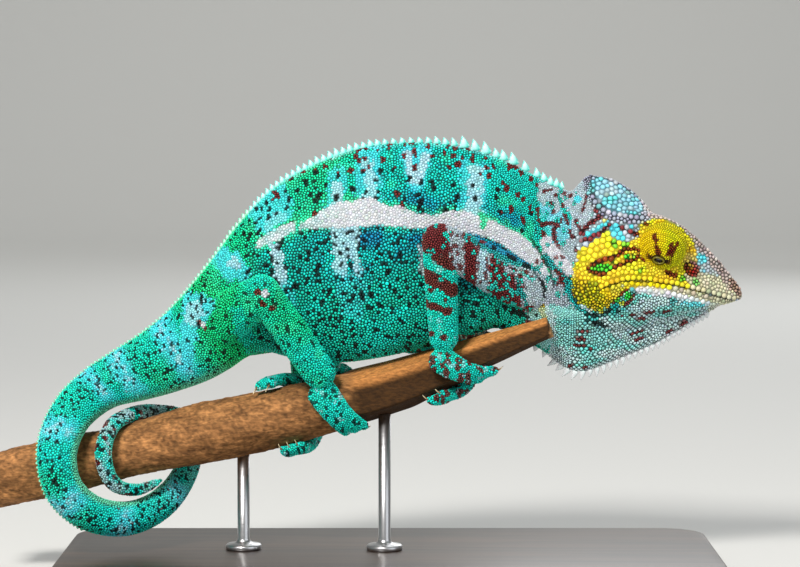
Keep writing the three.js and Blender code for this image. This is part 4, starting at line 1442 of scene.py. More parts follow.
KNEE_PATCHES = (
    *dots(Tint.MAROON, 1.3, (-1.6, 0.6)),
    *dots(Tint.WHITE, 1.3, (1, 0)),
    *dots(Tint.MAROON, 1, (0, -3.6), (3.4, -5.2)),
    *dots(Tint.NEAR_BLACK, 0.6, (8.4, -11.8)),
)


def only(mask: Array, new: Array, old: Array) -> Array:
    """New colours where a mask holds and old ones elsewhere."""
    return np.where(mask[:, None], new, old)


@dataclass
class Markings:
    """The pattern that skin and scales share."""

    seed: int = 11
    stripe: tuple[tuple[float, float, float], ...] = (
        (-47.6, 118.4, 0.6), (-46.4, 119.1, 1.3), (-43.2, 121, 2.0), (-38.7, 123.2, 1.9), (-34.6, 124.8, 1.5),
        (-31.5, 125.6, 1.2), (-27, 126.8, 2.0), (-23.4, 128.2, 3.2), (-18, 129.4, 4.4), (-13.5, 129.5, 4.4),
        (-7.2, 130.7, 5.1), (-3.6, 130, 3.9), (0, 128.9, 3.3), (5.4, 128.6, 3.4), (9, 127.4, 2.8),
        (13.5, 127.2, 2.2), (17.1, 127.2, 2.0), (21.6, 127.4, 3.3), (26.1, 127, 3.5), (30.6, 126, 3.5),
        (35.1, 124.7, 3.0), (39.6, 122.6, 3.2), (44.1, 120, 3.6), (48.6, 116.8, 4.0), (52.2, 112.8, 4.6),
        (54.9, 107, 5.6), (57, 102, 5.6))
    tail_bars: tuple[tuple[float, float], ...] = (
        (-77.8, 82.6), (-93.6, 71.8), (-107.3, 68), (-120.2, 50.9), (-116.6, 26.8), (-97.9, 16.3), (-80, 27),
        (-74, 48), (-97, 54), (-101, 38))

    def __post_init__(self) -> None:
        """Makes the noises and finds the tail's bars along its axis."""
        self.noise, self.other = Noise(self.seed), Noise(self.seed + 1)
        self.stations = np.linspace(0, LAST_STATION, 900)
        axis = spine_middle(self.stations)
        self.arcs = travelled(axis)
        started, self.bars = 10.0, []
        for x, z in self.tail_bars:
            best = np.argmin(np.hypot(axis[:, 0] - x, axis[:, 2] - z) + 1e3 * (self.stations <= started))
            started = self.stations[best] + 0.4
            self.bars.append(self.arcs[best])

    def colours(self, at: Unwrapped) -> Array:
        """Colours points of the skin.

        Args:
            at: the points.

        Returns:
            Their colours as light values.
        """
        self.q = at.p + at.on_left(300.0)[:, None]
        self.rough = 0.65 * self.noise.at(self.q, 2.2) + 0.6 * self.other.at(self.q, 0.7)
        self.wide = self.other.at(self.q, 9)
        x, z = at.x, at.z
        on_head = at.within(Region.HEAD, Region.TURRET)
        on_body = at.within(Region.BODY)
        colour = only(on_body, self.body(at), only(on_head, self.head(at), self.legs(at)))
        nape = (on_body & (x > 50.5)) | (on_head & (x < 79) & (z > 97))
        neck = self.freckle(self.draw(colour, NECK_PATCHES, at.flat), at, (x < 67) & (z > 100))
        colour = only(nape, neck, colour)
        head = self.crown(at, self.draw(colour, HEAD_PATCHES, at.flat))
        colour = only(on_head, self.face(at, head), colour)
        return self.eyes(at, colour)

    def gaps_with_painted_shade(self, colour: Array, at: Unwrapped) -> Array:
        """The colour of the skin between scales, darkened as painted shade: dark in colours and on the
        throat, pale in white.
        """
        return colour * self.edge(colour, at, 0.1, 0.72)[:, None]

    @staticmethod
    def edge(colour: Array, at: Unwrapped, dark: float, pale: float) -> Array:
        """Finds how much darker than its middle the edge of a scale is painted, as painted shade.

        Args:
            colour: the scales' colours.
            at: their places.
            dark: the share of light left at the edge of a deep colour.
            pale: the share left at the edge of a pale one.

        Returns:
            The shares.
        """
        throat = at.within(Region.HEAD) & (at.z < lip_height(at.x) - 4.5) & (at.x > 58)
        bright = np.maximum(smooth(0.3, 0.62, colour.min(1)), 0.6 * smooth(0.36, 0.56, colour.mean(1)))
        return mix(dark, pale, bright * np.where(throat, 0.15, 1.0))

    @staticmethod
    def lay(colour: Array, *coats: tuple[Tint, Array]) -> Array:
        """Lays tints over colours in turn, each by its weight."""
        for tint, weight in coats:
            colour = blend(colour, tint.light, np.clip(weight, 0, 1))
        return colour

    def draw(self, colour: Array, patches: tuple[Patch, ...], place: Array) -> Array:
        """Lays drawn patches over colours at places of the side plane."""
        for patch in patches:
            colour = self.lay(colour, (patch.tint, patch.weight(*place.T, self.rough)))
        return colour

    def freckle(self, colour: Array, at: Unwrapped, where: Array) -> Array:
        """Strews small turquoise and dark red freckles over pale skin.

        Args:
            colour: the colours so far.
            at: the points.
            where: which of them may take freckles.

        Returns:
            The new colours.
        """
        along = at.x + at.on_left(200.0)
        pale = where & (colour.min(1) > 0.1)
        sea = spots(along, at.z + 0.5 * self.rough, 2.3, 21, 1.3).covers(0.3, 0.7, 0.62)
        red = spots(along + 30, at.z, 2.5, 22, 1.3).covers(0.2, 0.6, 0.7)
        return self.lay(colour, (Tint.SEA, (pale & sea) * 0.85), (Tint.MAROON, (pale & red) * 0.9))

    def body(self, at: Unwrapped) -> Array:
        """Colours the trunk, hips and tail: back, flank, spots and the pale stripe.

        Args:
            at: the points.

        Returns:
            Their colours.
        """
        x, z, wide, rough = at.x, at.z, self.wide, self.rough
        station = at.t * LAST_STATION
        away = np.abs(at.angle) / np.pi
        stripe = np.array(self.stripe)
        half = np.interp(x, stripe[:, 0], stripe[:, 2], left=0, right=0)
        above = z - np.interp(x, stripe[:, 0], stripe[:, 1])
        back = above > 0
        patchy = self.other.at(self.q, 5)
        flank = smooth(1, -1, above) * smooth(-54, -44, x)
        fringe = smooth(3.4, 0.8, np.abs(above) - half + 1.6 * rough) * (half > 0)
        colour = self.lay(
            np.tile(Tint.GREEN.light, (len(x), 1)),
            (Tint.SEA, smooth(-26, 0, x + 7 * wide) * back),
            (Tint.TURQUOISE, smooth(-8, 8, x) * back * 0.3),
            (Tint.BLUE, smooth(-5, 2, x) * smooth(50, 44, x) * smooth(12, 3, above + 7 * wide) * back * 0.6),
            (Tint.TURQUOISE, (0.2 + 0.6 * wide + 0.3 * rough) * back * mix(0.5, 1, smooth(-30, 5, x))),
            (Tint.MINT, smooth(0.1, 0.7, patchy) * back * 0.5),
            (Tint.PALE_BLUE, smooth(0.1, 0.03, away) * smooth(-50, -30, x) * (0.3 + 0.6 * rough)),
            (Tint.TEAL, flank * 0.8),
            (Tint.BLUE, flank * smooth(-34, -10, x) * smooth(-24, -4, above + 9 * wide) * 0.8),
            (Tint.EMERALD, flank * smooth(112, 92, z + 8 * wide) * 0.15),
            (Tint.TURQUOISE, flank * smooth(0.0, 0.6, patchy + 0.4 * rough) * 0.6),
            (Tint.MINT, fringe * mix(0.3, 0.8, smooth(-0.5, 0.5, patchy + back - 0.5))),
        )
        colour = self.draw(colour, TRUNK_PATCHES, at.flat)

        along = x + at.on_left(500.0)
        large = spots(along + 0.5 * rough, z, 4.3, 3, 1.35)
        crest = smooth(0.2, 0.12, away + 0.04 * wide) + 0.6 * smooth(-24, -44, x)
        trunk = (x > -60) & (x < 53) & (station < 10)
        spot = spots(along + 9, z + 0.4 * rough, 2.9, 4, 1.2).covers(0.35, 0.5, 0.95 - 0.7 * crest)
        spot = (large.covers(0.56, 0.5, 0.08) | spot) & (above > half - 0.3) & trunk
        red = (above + 3 * wide > 16) | (large.luck > 0.88)
        dark = spots(along + 40, z + 0.5 * rough, 3.6, 5, 0.85).covers(0.44, 0.46, 0.12)
        dark |= spots(along + 60, z, 2.6, 6).covers(0.3, 0.35, 0.75)
        dark &= (above < -half) & trunk & (x > -52)
        white = smooth(0.5, -0.2, np.abs(above) - half + 0.6 * rough) * (half > 0)
        white *= 1 - smooth(0.9, 0.5, np.abs(x + 32.8))
        colour = self.lay(
            colour,
            (Tint.NEAR_BLACK, (spot & ~red) * 0.97),
            (Tint.MAROON, (spot & red) * 0.97),
            (Tint.NEAR_BLACK, dark * 0.97),
            (Tint.WHITE, white * 0.98),
            (Tint.TURQUOISE, white * smooth(-14, -30, x) * (0.2 + 0.3 * rough)),
        )
        return self.tail(at, self.draw(colour, STRIPE_PATCHES, at.flat), station, away)

    def tail(self, at: Unwrapped, colour: Array, station: Array, away: Array) -> Array:
        """Lays the hips and tail over the trunk's colours.

        Args:
            at: the points.
            colour: their colours so far.
            station: their stations.
            away: how far round from the back, 1 at the belly.

        Returns:
            The new colours.
        """
        behind = smooth(9.6, 10.8, station)
        low_hip = smooth(8.2, 9.4, station) * smooth(108, 100, at.z + 0.7 * (at.x + 60))
        late, end = smooth(15, 21, station), smooth(20, 26, station)
        along = np.interp(station, self.stations, self.arcs)
        nearest = np.abs(along[:, None] - np.array(self.bars)).min(1) + 1.8 * self.rough
        bar = (station > 10.6) * smooth(0.9, 0.6, away)
        colour = self.lay(
            colour,
            (Tint.EMERALD, np.maximum(behind, low_hip) * (0.75 + 0.3 * self.wide)),
            (Tint.SEA, late * 0.8),
            (Tint.MINT, behind * smooth(-0.2, 0.6, self.other.at(self.q, 6)) * 0.5),
            (Tint.TURQUOISE, smooth(9.8, 11.4, station) * (0.7 + 0.5 * self.wide)),
            (Tint.TURQUOISE, smooth(0.5, 0.62, away) * smooth(12, 13, station) * 0.6),
            (Tint.SKY, bar * smooth(6.4, 1.6, nearest) * 0.85),
            (Tint.PALE_BLUE, bar * smooth(1.6, -1.4, nearest + 2.4 * self.rough) * 0.7),
            (Tint.BELLY, smooth(0.74, 0.88, away) * behind * 0.85),
            (Tint.TURQUOISE, end * 0.6),
            (Tint.SILVER, end * smooth(-0.5, 0.2, self.other.at(self.q, 4.5) + 0.4 * self.rough) * 0.8),
        )
        colour = self.draw(colour, HIP_PATCHES, at.flat)
        least = np.where(station < 11, 0.5, 0.08)
        speck = spots(along, at.across + 0.4 * self.rough, 2.15, 7, 1.4).covers(0.32 + 0.15 * end, 0.3, least)
        speck &= (station > 9) & (away < np.select([station < 12, station < 20], [0.86, 0.6], 0.9))
        red = spots(along + 70, at.across, 4.6, 8).covers(0.0, 1.5 * (0.3 * late + 0.8 * end), 0.0)
        red &= (station > 15) & (away < 0.9)
        return self.lay(colour, (Tint.NEAR_BLACK, speck * 0.96), (Tint.MAROON, red * 0.85))

    def legs(self, at: Unwrapped) -> Array:
        """Colours the legs and feet.

        Args:
            at: the points.

        Returns:
            Their colours.
        """
        low = smooth(92, 78, at.z + 4 * self.wide)
        on_hip = at.within(Region.HIND_UPPER)
        hip = on_hip * smooth(-4, -12, at.on_limb[:, 0])
        colour = self.lay(
            np.tile(Tint.GREEN.light, (len(at.p), 1)),
            (Tint.TURQUOISE, 0.3 + 0.5 * low + 0.5 * self.wide),
            (Tint.MINT, smooth(0.0, 0.7, self.other.at(self.q, 5)) * 0.5),
            (Tint.EMERALD, hip * (0.75 + 0.3 * self.wide)),
        )
        colour = only(on_hip, self.draw(colour, HIP_PATCHES, at.flat), colour)
        hind = at.within(Region.HIND_UPPER, Region.HIND_LOWER)
        speck = spots(at.along + at.on_left(300.0), at.across, 3.2, 12).covers(0.3, 0.4, 0.3)
        colour = self.lay(colour, (Tint.NEAR_BLACK, (hind & speck) * 0.9))
        colour = only(hind, self.draw(colour, KNEE_PATCHES, at.on_limb), colour)
        pale = smooth(0.3, 0.8, self.rough + self.wide) * 0.5
        arm = self.lay(colour, (Tint.TURQUOISE, np.full(len(at.p), 0.8)), (Tint.PALE_BLUE, pale))
        arm = self.draw(arm, FORE_LOWER_PATCHES, at.on_limb)
        colour = only(at.within(Region.FORE_LOWER), arm, colour)
        return self.feet(at, only(at.within(Region.FORE_UPPER), self.upper_arm(at), colour))

    def upper_arm(self, at: Unwrapped) -> Array:
        """Colours the upper arm: silver with turquoise islands in its dark red.

        Args:
            at: the points.

        Returns:
            Their colours.
        """
        x, z = at.on_limb.T
        along = x + at.on_left(300.0)
        arm = np.tile(Tint.SILVER.light * 0.9, (len(x), 1))
        arm = self.lay(arm, (Tint.LILAC, smooth(0.0, 0.5, self.rough) * 0.5))
        arm = self.draw(arm, FORE_UPPER_PATCHES, at.on_limb)
        island = spots(along, z, 2.7, 15, 1.3).covers(0.3, 0.6, 0.3) & (arm[:, 0] > 3 * arm[:, 1])
        arm = self.lay(arm, (Tint.TURQUOISE, island * 0.9))
        fine = spots(along, z, 1.9, 18, 1.4)
        speck = fine.covers(0.2, 0.7, 0.5) & (x > 2.5) & (x < 17) & (arm[:, 1] > arm[:, 0])
        arm = self.lay(arm, (Tint.MAROON, speck * 0.85))
        mottled = fine.covers(0.5, 0.7, 0.0) & (fine.luck < 0.55) & (arm[:, 0] > 3 * arm[:, 1])
        return self.lay(arm, (Tint.TURQUOISE, (mottled & (x > 17.5) & (x < 29.5)) * 0.85))

    def feet(self, at: Unwrapped, colour: Array) -> Array:
        """Lays the feet's specks over the legs' colours.

        Args:
            at: the points.
            colour: their colours so far.

        Returns:
            The new colours.
        """
        y, z, along = at.p[:, 1], at.z, at.x + at.on_left(300.0)
        fore, hind = at.within(Region.FORE_FOOT), at.within(Region.HIND_FOOT)
        inner = fore & (z > 84.6) & (at.x > 22)
        speck = spots(along, z + 0.6 * y, 2.5, 16, 1.2)
        return self.lay(
            colour,
            (Tint.TURQUOISE, (fore | hind) * 0.7),
            (Tint.MAROON, (fore & speck.covers(0.55, 0.6, 0.15)) * 0.92),
            (Tint.NEAR_BLACK, (hind & speck.covers(0.35, 0.4, 0.15)) * 0.9),
            (Tint.CREAM, inner * smooth(-0.5, 0.3, self.rough + 0.3) * 0.85),
            (Tint.MAROON, (inner & spots(along, z + y, 1.9, 19).covers(0.3, 0.6, 0.25)) * 0.9),
            (Tint.PALE_BLUE, ((fore | hind) & spots(along, z - y, 3.2, 17).covers(0.2, 0.7, 0.5)) * 0.5),
        )

    def head(self, at: Unwrapped) -> Array:
        """Lays the head's ground colours: grey-white above the mouth and pale blue-grey below.

        Args:
            at: the points.

        Returns:
            Their colours.
        """
        below = smooth(0.4, -0.4, at.z - lip_height(at.x))
        keel = row_at(HEAD_LINES["keel"], at.x)[:, 1]
        return self.lay(
            np.tile(Tint.SILVER.light, (len(at.p), 1)),
            (Tint.LILAC, 0.25 + 0.4 * self.wide),
            (Tint.THROAT, below),
            (Tint.TURQUOISE, below * smooth(0.05, 0.5, self.other.at(self.q, (9, 9, 2.4))) * 0.55),
            (Tint.WHITE, smooth(3.0, 1.0, at.z - keel) * below * 0.7),
        )

    def face(self, at: Unwrapped, colour: Array) -> Array:
        """Lays dark olive arcs round the mouth's corner, painted shade in the creases of its folds, with
        uneven yellow, and pale and cyan plates on the casque.

        Args:
            at: the points.
            colour: their colours so far.

        Returns:
            The new colours.
        """
        x, z = at.x, at.z
        patchy = self.other.at(self.q + 50, 2.6)
        away = np.hypot(x - MOUTH_CORNER[0], z - MOUTH_CORNER[1])
        # Arcs: painted shade in the creases of the skin's folds round the mouth's corner.
        arc = 0.35 + 0.6 * smooth(0.1, 0.8, np.sin(away * 2 * np.pi / 2.1))
        arcs = smooth(5, 7, away) * smooth(17, 14, away) * (z < 106) * (x < 84) * (x > 62) * arc
        yellow = (colour[:, 0] > 0.3) & (colour[:, 2] < 0.1)
        casque = (x > 70) & (x < 93) & (z > 129) & (colour[:, 2] > 0.3)
        return self.lay(
            colour,
            (Tint.OLIVE, yellow * arcs),
            (Tint.LIME, yellow * smooth(0.1, 0.6, patchy) * 0.5),
            (Tint.AMBER, yellow * smooth(-0.2, -0.7, patchy) * 0.4),
            (Tint.WHITE, casque * smooth(0.0, 0.5, patchy) * 0.5),
            (Tint.TURQUOISE, casque * smooth(-0.3, -0.7, patchy) * 0.5),
        )

    def crown(self, at: Unwrapped, colour: Array) -> Array:
        """Lays the grey-pink crown between the brows.

        Args:
            at: the points.
            colour: their colours so far.

        Returns:
            The new colours.
        """
        brow = row_at(HEAD_LINES["crest"], at.x)[:, 2]
        inside = smooth(89, 92, at.x) * smooth(0.92, 0.74, np.abs(at.p[:, 1]) / brow) * (at.z > 108)
        grey = inside * smooth(-0.2, 0.6, self.rough) * 0.6
        return self.lay(colour, (Tint.SNOUT, inside * 0.9), (Tint.LILAC, grey))

    def eyes(self, at: Unwrapped, colour: Array) -> Array:
        """Lays the eye turrets over the head's colours.

        Args:
            at: the points.
            colour: their colours so far.

        Returns:
            The new colours.
        """
        for turret in TURRETS:
            on = at.within(Region.TURRET) & (np.sign(at.p[:, 1]) == turret.side.value)
            forward = at.x - turret.x
            direction = unit(at.p - turret.centre)
            long, across = turret.axes()
            off = turret.off_pupil(at.p)
            turn = np.abs(np.degrees(np.arctan2(direction @ across, direction @ long)))
            corner = np.minimum(turn, 180 - turn) + 6 * self.rough
            eye = self.lay(
                np.tile(Tint.YELLOW.light, (len(on), 1)),
                (Tint.LIME, smooth(-5, 3, forward + 2 * self.rough) * 0.8 + 0.2 * self.rough),
                (Tint.AMBER, smooth(2, -7, forward) * 0.35),
                (Tint.MUSTARD, smooth(78, 92, off) * 0.7),
            )
            eye = self.lay(
                self.draw(eye, TURRET_PATCHES, at.flat),
                (Tint.MAROON, smooth(24, 16, corner) * smooth(36, 28, off) * 0.8),
                (Tint.NEAR_BLACK, smooth(18, 10, corner) * smooth(30, 22, off) * 0.9),
                (Tint.NEAR_BLACK, smooth(18, 15, off + self.rough) * 0.5),
            )
            colour = only(on, eye, colour)
        return colour


# ---------------------------------------------------------------- finishes
class Recipe:
    """The nodes of one material."""

    def __init__(self, name: str) -> None:
        """Starts from the plain shader.

        Args:
            name: the material's name.
        """
        self.made = bpy.data.materials.new(name)
        self.made.use_nodes = True
        self.shader = self.made.node_tree.nodes["Principled BSDF"]

    def fill(self, node: bpy.types.Node, inputs: dict) -> bpy.types.Node:
        """Sets a node's inputs.

        Args:
            node: the node.
            inputs: for each input's name a constant, or the output of another node.

        Returns:
            The node.
        """
        for name, value in inputs.items():
            if isinstance(value, bpy.types.NodeSocket):
                self.made.node_tree.links.new(value, node.inputs[name])
            else:
                node.inputs[name].default_value = value
        return node

    def add(self, kind: str, output: str, inputs: dict, **settings: str) -> bpy.types.NodeSocket:
        """Adds a node.

        Args:
            kind: what it does.
            output: which output is wanted.
            inputs: its inputs by name.
            **settings: its options.

        Returns:
            The output.
        """
        node = self.made.node_tree.nodes.new("ShaderNode" + kind)
        for name, value in settings.items():
            setattr(node, name, value)
        return self.fill(node, inputs).outputs[output]

    def place(self, scale: tuple[float, float, float] = (1, 1, 1), tilt: float = 0.0) -> bpy.types.NodeSocket:
        """Places on the object, drawn out along an axis."""
        at = self.add("TexCoord", "Object", {})
        return self.add("Mapping", "Vector", {"Vector": at, "Scale": scale, "Rotation": (0, tilt, 0)})

    def shaded(self, colour: bpy.types.NodeSocket, tone: bpy.types.NodeSocket) -> bpy.types.NodeSocket:
        """A colour made lighter and darker by a tone."""
        inputs = {"Factor": 1, "A": colour, "B": tone}
        return self.add("Mix", "Result", inputs, data_type="RGBA", blend_type="MULTIPLY")


@dataclass(frozen=True)
class PaintedFinish:
    """A finish whose colour is the Marking attribute, with fine bumps."""

    name: str
    roughness: float = 0.42
    specular: float = 0.5
    grain: float = 0.0004
    bump: float = 0.15
    coat: float = 0.0

    def recipe(self) -> Recipe:
        """Wires the painted colour, its fine grain and the bumps.

        Returns:
            The recipe.
        """
        made = Recipe(self.name)
        fine = made.add("TexNoise", "Fac", {"Vector": made.place(), "Scale": 1 / self.grain, "Detail": 2})
        tone = made.add("MapRange", "Result", {"Value": fine, "To Min": 0.86, "To Max": 1.12})
        colour = made.add("Attribute", "Color", {}, attribute_name="Marking")
        bump = made.add("Bump", "Normal", {"Height": fine, "Strength": self.bump, "Distance": 0.0001})
        looks = {"Base Color": made.shaded(colour, tone), "Normal": bump, "Roughness": self.roughness,
                 "Specular IOR Level": self.specular, "Coat Weight": self.coat, "Coat Roughness": 0.15}
        made.fill(made.shader, looks)
        return made

    def material(self) -> bpy.types.Material:
        """Builds the material."""
        return self.recipe().made


@dataclass(frozen=True)
class BranchFinish:
    """Dry bark behind and whittled wood in front, with grain along the branch."""

    name: str = "branch bark and whittled wood"
    slope: float = 17.0

    def material(self) -> bpy.types.Material:
        """Builds the material.

        Returns:
            The material.
        """
        made = PaintedFinish(self.name, roughness=0.85, specular=0.25, grain=0.0007, bump=0.9).recipe()
        along = made.place((0.4, 1, 1), math.radians(self.slope))
        fibre = made.add("TexNoise", "Fac", {"Vector": along, "Scale": 1300, "Detail": 6})
        limits = {"From Min": 0.35, "From Max": 0.65, "To Min": 0.62, "To Max": 1.3}
        tone = made.add("MapRange", "Result", {"Value": fibre, **limits})
        colour, normal = (made.shader.inputs[name].links[0].from_socket for name in ("Base Color", "Normal"))
        relief = {"Height": fibre, "Normal": normal, "Strength": 0.75, "Distance": 0.0004}
        bump = made.add("Bump", "Normal", relief)
        made.fill(made.shader, {"Base Color": made.shaded(colour, tone), "Normal": bump})
        return made.made


@dataclass(frozen=True)
class BaseWoodFinish:
    """Dark stained wood with satin varnish."""

    name: str = "dark stained base wood"

    def material(self) -> bpy.types.Material:
        """Builds the material.

        Returns:
            The material.
        """
        made = Recipe(self.name)
        look = {"Vector": made.place((0.07, 1, 1)), "Scale": 160, "Detail": 8, "Distortion": 0.6}
        grain = made.add("TexNoise", "Fac", look)
        share = made.add("MapRange", "Result", {"Value": grain, "From Min": 0.32, "From Max": 0.68})
        dark, pale = (0.014, 0.008, 0.006, 1), (0.062, 0.034, 0.02, 1)
        colour = made.add("Mix", "Result", {"Factor": share, "A": dark, "B": pale}, data_type="RGBA")
        bump = made.add("Bump", "Normal", {"Height": grain, "Strength": 0.25, "Distance": 0.0003})
        varnish = {"Roughness": 0.42, "Coat Weight": 0.35, "Coat Roughness": 0.25}
        made.fill(made.shader, {"Base Color": colour, "Normal": bump, **varnish})
        return made.made


@dataclass(frozen=True)
class SteelFinish:
    """Satin steel with fine turning marks."""

    name: str = "satin steel rod"

    def material(self) -> bpy.types.Material:
        """Builds the material.

        Returns:
            The material.
        """
        made = Recipe(self.name)
        marks = made.add("TexNoise", "Fac", {"Vector": made.place((0.1, 0.1, 1)), "Scale": 2600})
        rough = made.add("MapRange", "Result", {"Value": marks, "To Min": 0.22, "To Max": 0.42})
        made.fill(made.shader, {"Roughness": rough, "Base Color": (0.62, 0.62, 0.63, 1), "Metallic": 1})
        return made.made


# ---------------------------------------------------------------- the coat of scales
SIDES = 7


@cache
def bead() -> tuple[Array, Array, tuple[tuple[int, ...], ...]]:
    """The small solid that every scale is made from, before it is fitted to its own cell.

    Returns:
        Each vertex's side number, its ring (0 foot, 1 shoulder, 2 top) and the faces.
    """
    bm = bmesh.new()
    bmesh.ops.create_cone(bm, cap_ends=True, segments=SIDES, radius1=1, radius2=0.7, depth=1)
    bmesh.ops.poke(bm, faces=[f for f in bm.faces if f.calc_center_median().z > 0.4])
    place = np.array([v.co for v in bm.verts])
    turn = np.round(np.arctan2(place[:, 1], place[:, 0]) / (2 * np.pi) * SIDES).astype(int) % SIDES
    ring = np.where(np.hypot(place[:, 0], place[:, 1]) < 0.1, 2, np.where(place[:, 2] > 0, 1, 0))
    bm.verts.index_update()
    faces = tuple(tuple(v.index for v in f.verts) for f in bm.faces)
    bm.free()
    return turn, ring, faces


@dataclass
class Scales:
    """Many scales: places, outward and sideways directions, reach towards each side, and looks, with painted
    highlights on their tops and painted shade at their feet.
    """

    roots: Array
    out: Array
    first: Array
    cells: Array
    height: Array
    shoulder: Array
    colour: Array
    # rim: the share of colour each scale keeps at its foot, painted shade round its base
    rim: Array
    unwrapped: Array

    def chosen(self, who: Array) -> "Scales":
        """The scales that a mask picks."""
        return Scales(*(getattr(self, f.name)[who] for f in fields(self)))

    def piece(self, name: str, finish: bpy.types.Material) -> bpy.types.Object:
        """Joins the scales into one piece.

        Args:
            name: the piece's name.
            finish: its material.

        Returns:
            The piece.
        """
        turn, ring, faces = bead()
        angles = turn / SIDES * 2 * np.pi
        second = np.cross(self.out, self.first)
        share = np.stack([np.ones(len(self.roots)), self.shoulder, np.zeros(len(self.roots))], 1)[:, ring]
        reach = self.cells[:, turn] * share
        sideways = self.first[:, None] * np.cos(angles)[:, None] + second[:, None] * np.sin(angles)[:, None]
        lift = self.height[:, None] * np.array([-0.4, 0.7, 1.0])[ring]
        verts = self.roots[:, None] + sideways * reach[:, :, None] + self.out[:, None] * lift[:, :, None]
        mesh = joined_copies(name, verts, faces)
        # Each bead is painted lighter at its top as a painted highlight, a little darker at its shoulder and
        # darker at its foot as painted shade.
        top = mix(1.28, 1.05, smooth(0.4, 0.85, self.rim))
        tone = np.stack([self.rim, np.full_like(self.rim, 0.95), top], 1)[:, ring]
        paint(mesh, (self.colour[:, None] * tone[:, :, None]).reshape(-1, 3))
        patch = 0.0014 * np.stack([np.cos(angles), np.sin(angles)], 1)
        patch = patch * np.array([1.0, 0.7, 0.0])[ring][:, None]
        corners = np.array([c for face in faces for c in face])
        uv = self.unwrapped[:, None] + patch[corners]
        mesh.uv_layers.new(name="OFBake").uv.foreach_set("vector", uv.astype(np.float32).ravel())
        mesh.shade_smooth()
        return settle(linked(name, mesh), finish, "skin")


def joined_copies(name: str, verts: Array, faces: tuple[tuple[int, ...], ...]) -> bpy.types.Mesh:
    """Joins many copies of one small form.

    Args:
        name: the mesh's name.
        verts: copies by vertices by coordinates, in millimetres.
        faces: one copy's faces.

    Returns:
        The mesh.
    """
    copies, each = verts.shape[:2]
    corners = np.array([c for face in faces for c in face])
    sizes = np.array([len(face) for face in faces])
    mesh = bpy.data.meshes.new(name)
    mesh.vertices.add(copies * each)
    mesh.vertices.foreach_set("co", (verts * MM).astype(np.float32).ravel())
    mesh.loops.add(copies * len(corners))
    loops = corners[None] + each * np.arange(copies)[:, None]
    mesh.loops.foreach_set("vertex_index", loops.astype(np.int32).ravel())
    mesh.polygons.add(copies * len(faces))
    starts = np.concatenate([[0], np.cumsum(np.tile(sizes, copies))[:-1]])
    mesh.polygons.foreach_set("loop_start", starts.astype(np.int32))
    mesh.update(calc_edges=True)
    mesh.validate()
    return mesh


@dataclass(frozen=True)
class PlateRow:
    """A row of plates at a set height above or below a line of the head."""

    line: str
    start: float
    stop: float
    pitch: float
    lift: float
    limit: float = 1.15
    beside: float = 22.0

    def places(self, side: Side) -> Array:
        """Finds points well outside the head, beside each plate.

        Args:
            side: the animal's side.

        Returns:
            The points.
        """
        x = np.arange(self.start, self.stop, 0.1)
        table = np.array(MOUTH) if self.line == "mouth" else row_at(HEAD_LINES[self.line], x)
        z = np.interp(x, table[:, 0], table[:, 1]) + self.lift
        so_far = np.concatenate([[0], np.cumsum(np.hypot(np.diff(x), np.diff(z)))])
        share = np.arange(0, so_far[-1], self.pitch)
        px = np.interp(share, so_far, x)
        return np.stack([px, np.full(len(px), side.value * self.beside), np.interp(share, so_far, z)], 1)


PLATE_ROWS = (
    PlateRow("mouth", 75, 125.6, 2.0, 0.95),
    PlateRow("mouth", 77, 125.6, 2.3, -1.15),
    PlateRow("mouth", 86, 120, 2.2, -3.3),
    PlateRow("crest", 71, 90, 2.0, 0.0),
    PlateRow("crest", 90, 124, 1.6, 0.0, 0.85),
)
PLATE_FIELDS = (  # x from and to, height from and to, distance between plates: temple, its back end, casque
    (67, 80, 112, 124, 2.5),
    (79, 88, 118, 126, 2.1),
    (73, 91, 130.4, 150, 2.05),
)
REGION_PITCH = {
    Region.FORE_UPPER: 0.86,
    Region.FORE_LOWER: 0.86,
    Region.FORE_FOOT: 0.8,
    Region.HIND_UPPER: 0.94,
    Region.HIND_LOWER: 0.86,
    Region.HIND_FOOT: 0.8,
    Region.TURRET: 0.9,
}
REGION_PIECES = {
    "head": (Region.HEAD, Region.TURRET),
    "foreleg": (Region.FORE_UPPER, Region.FORE_LOWER, Region.FORE_FOOT),
    "hindleg": (Region.HIND_UPPER, Region.HIND_LOWER, Region.HIND_FOOT),
}
SIDE_PIECES = {"shoulder": 2.7, "chest": 4.8, "flank": 7, "hip": 11}  # each up to a station
TAIL_PIECES = {"base": 15, "bend": 20, "coil": 24, "end": LAST_STATION + 1}


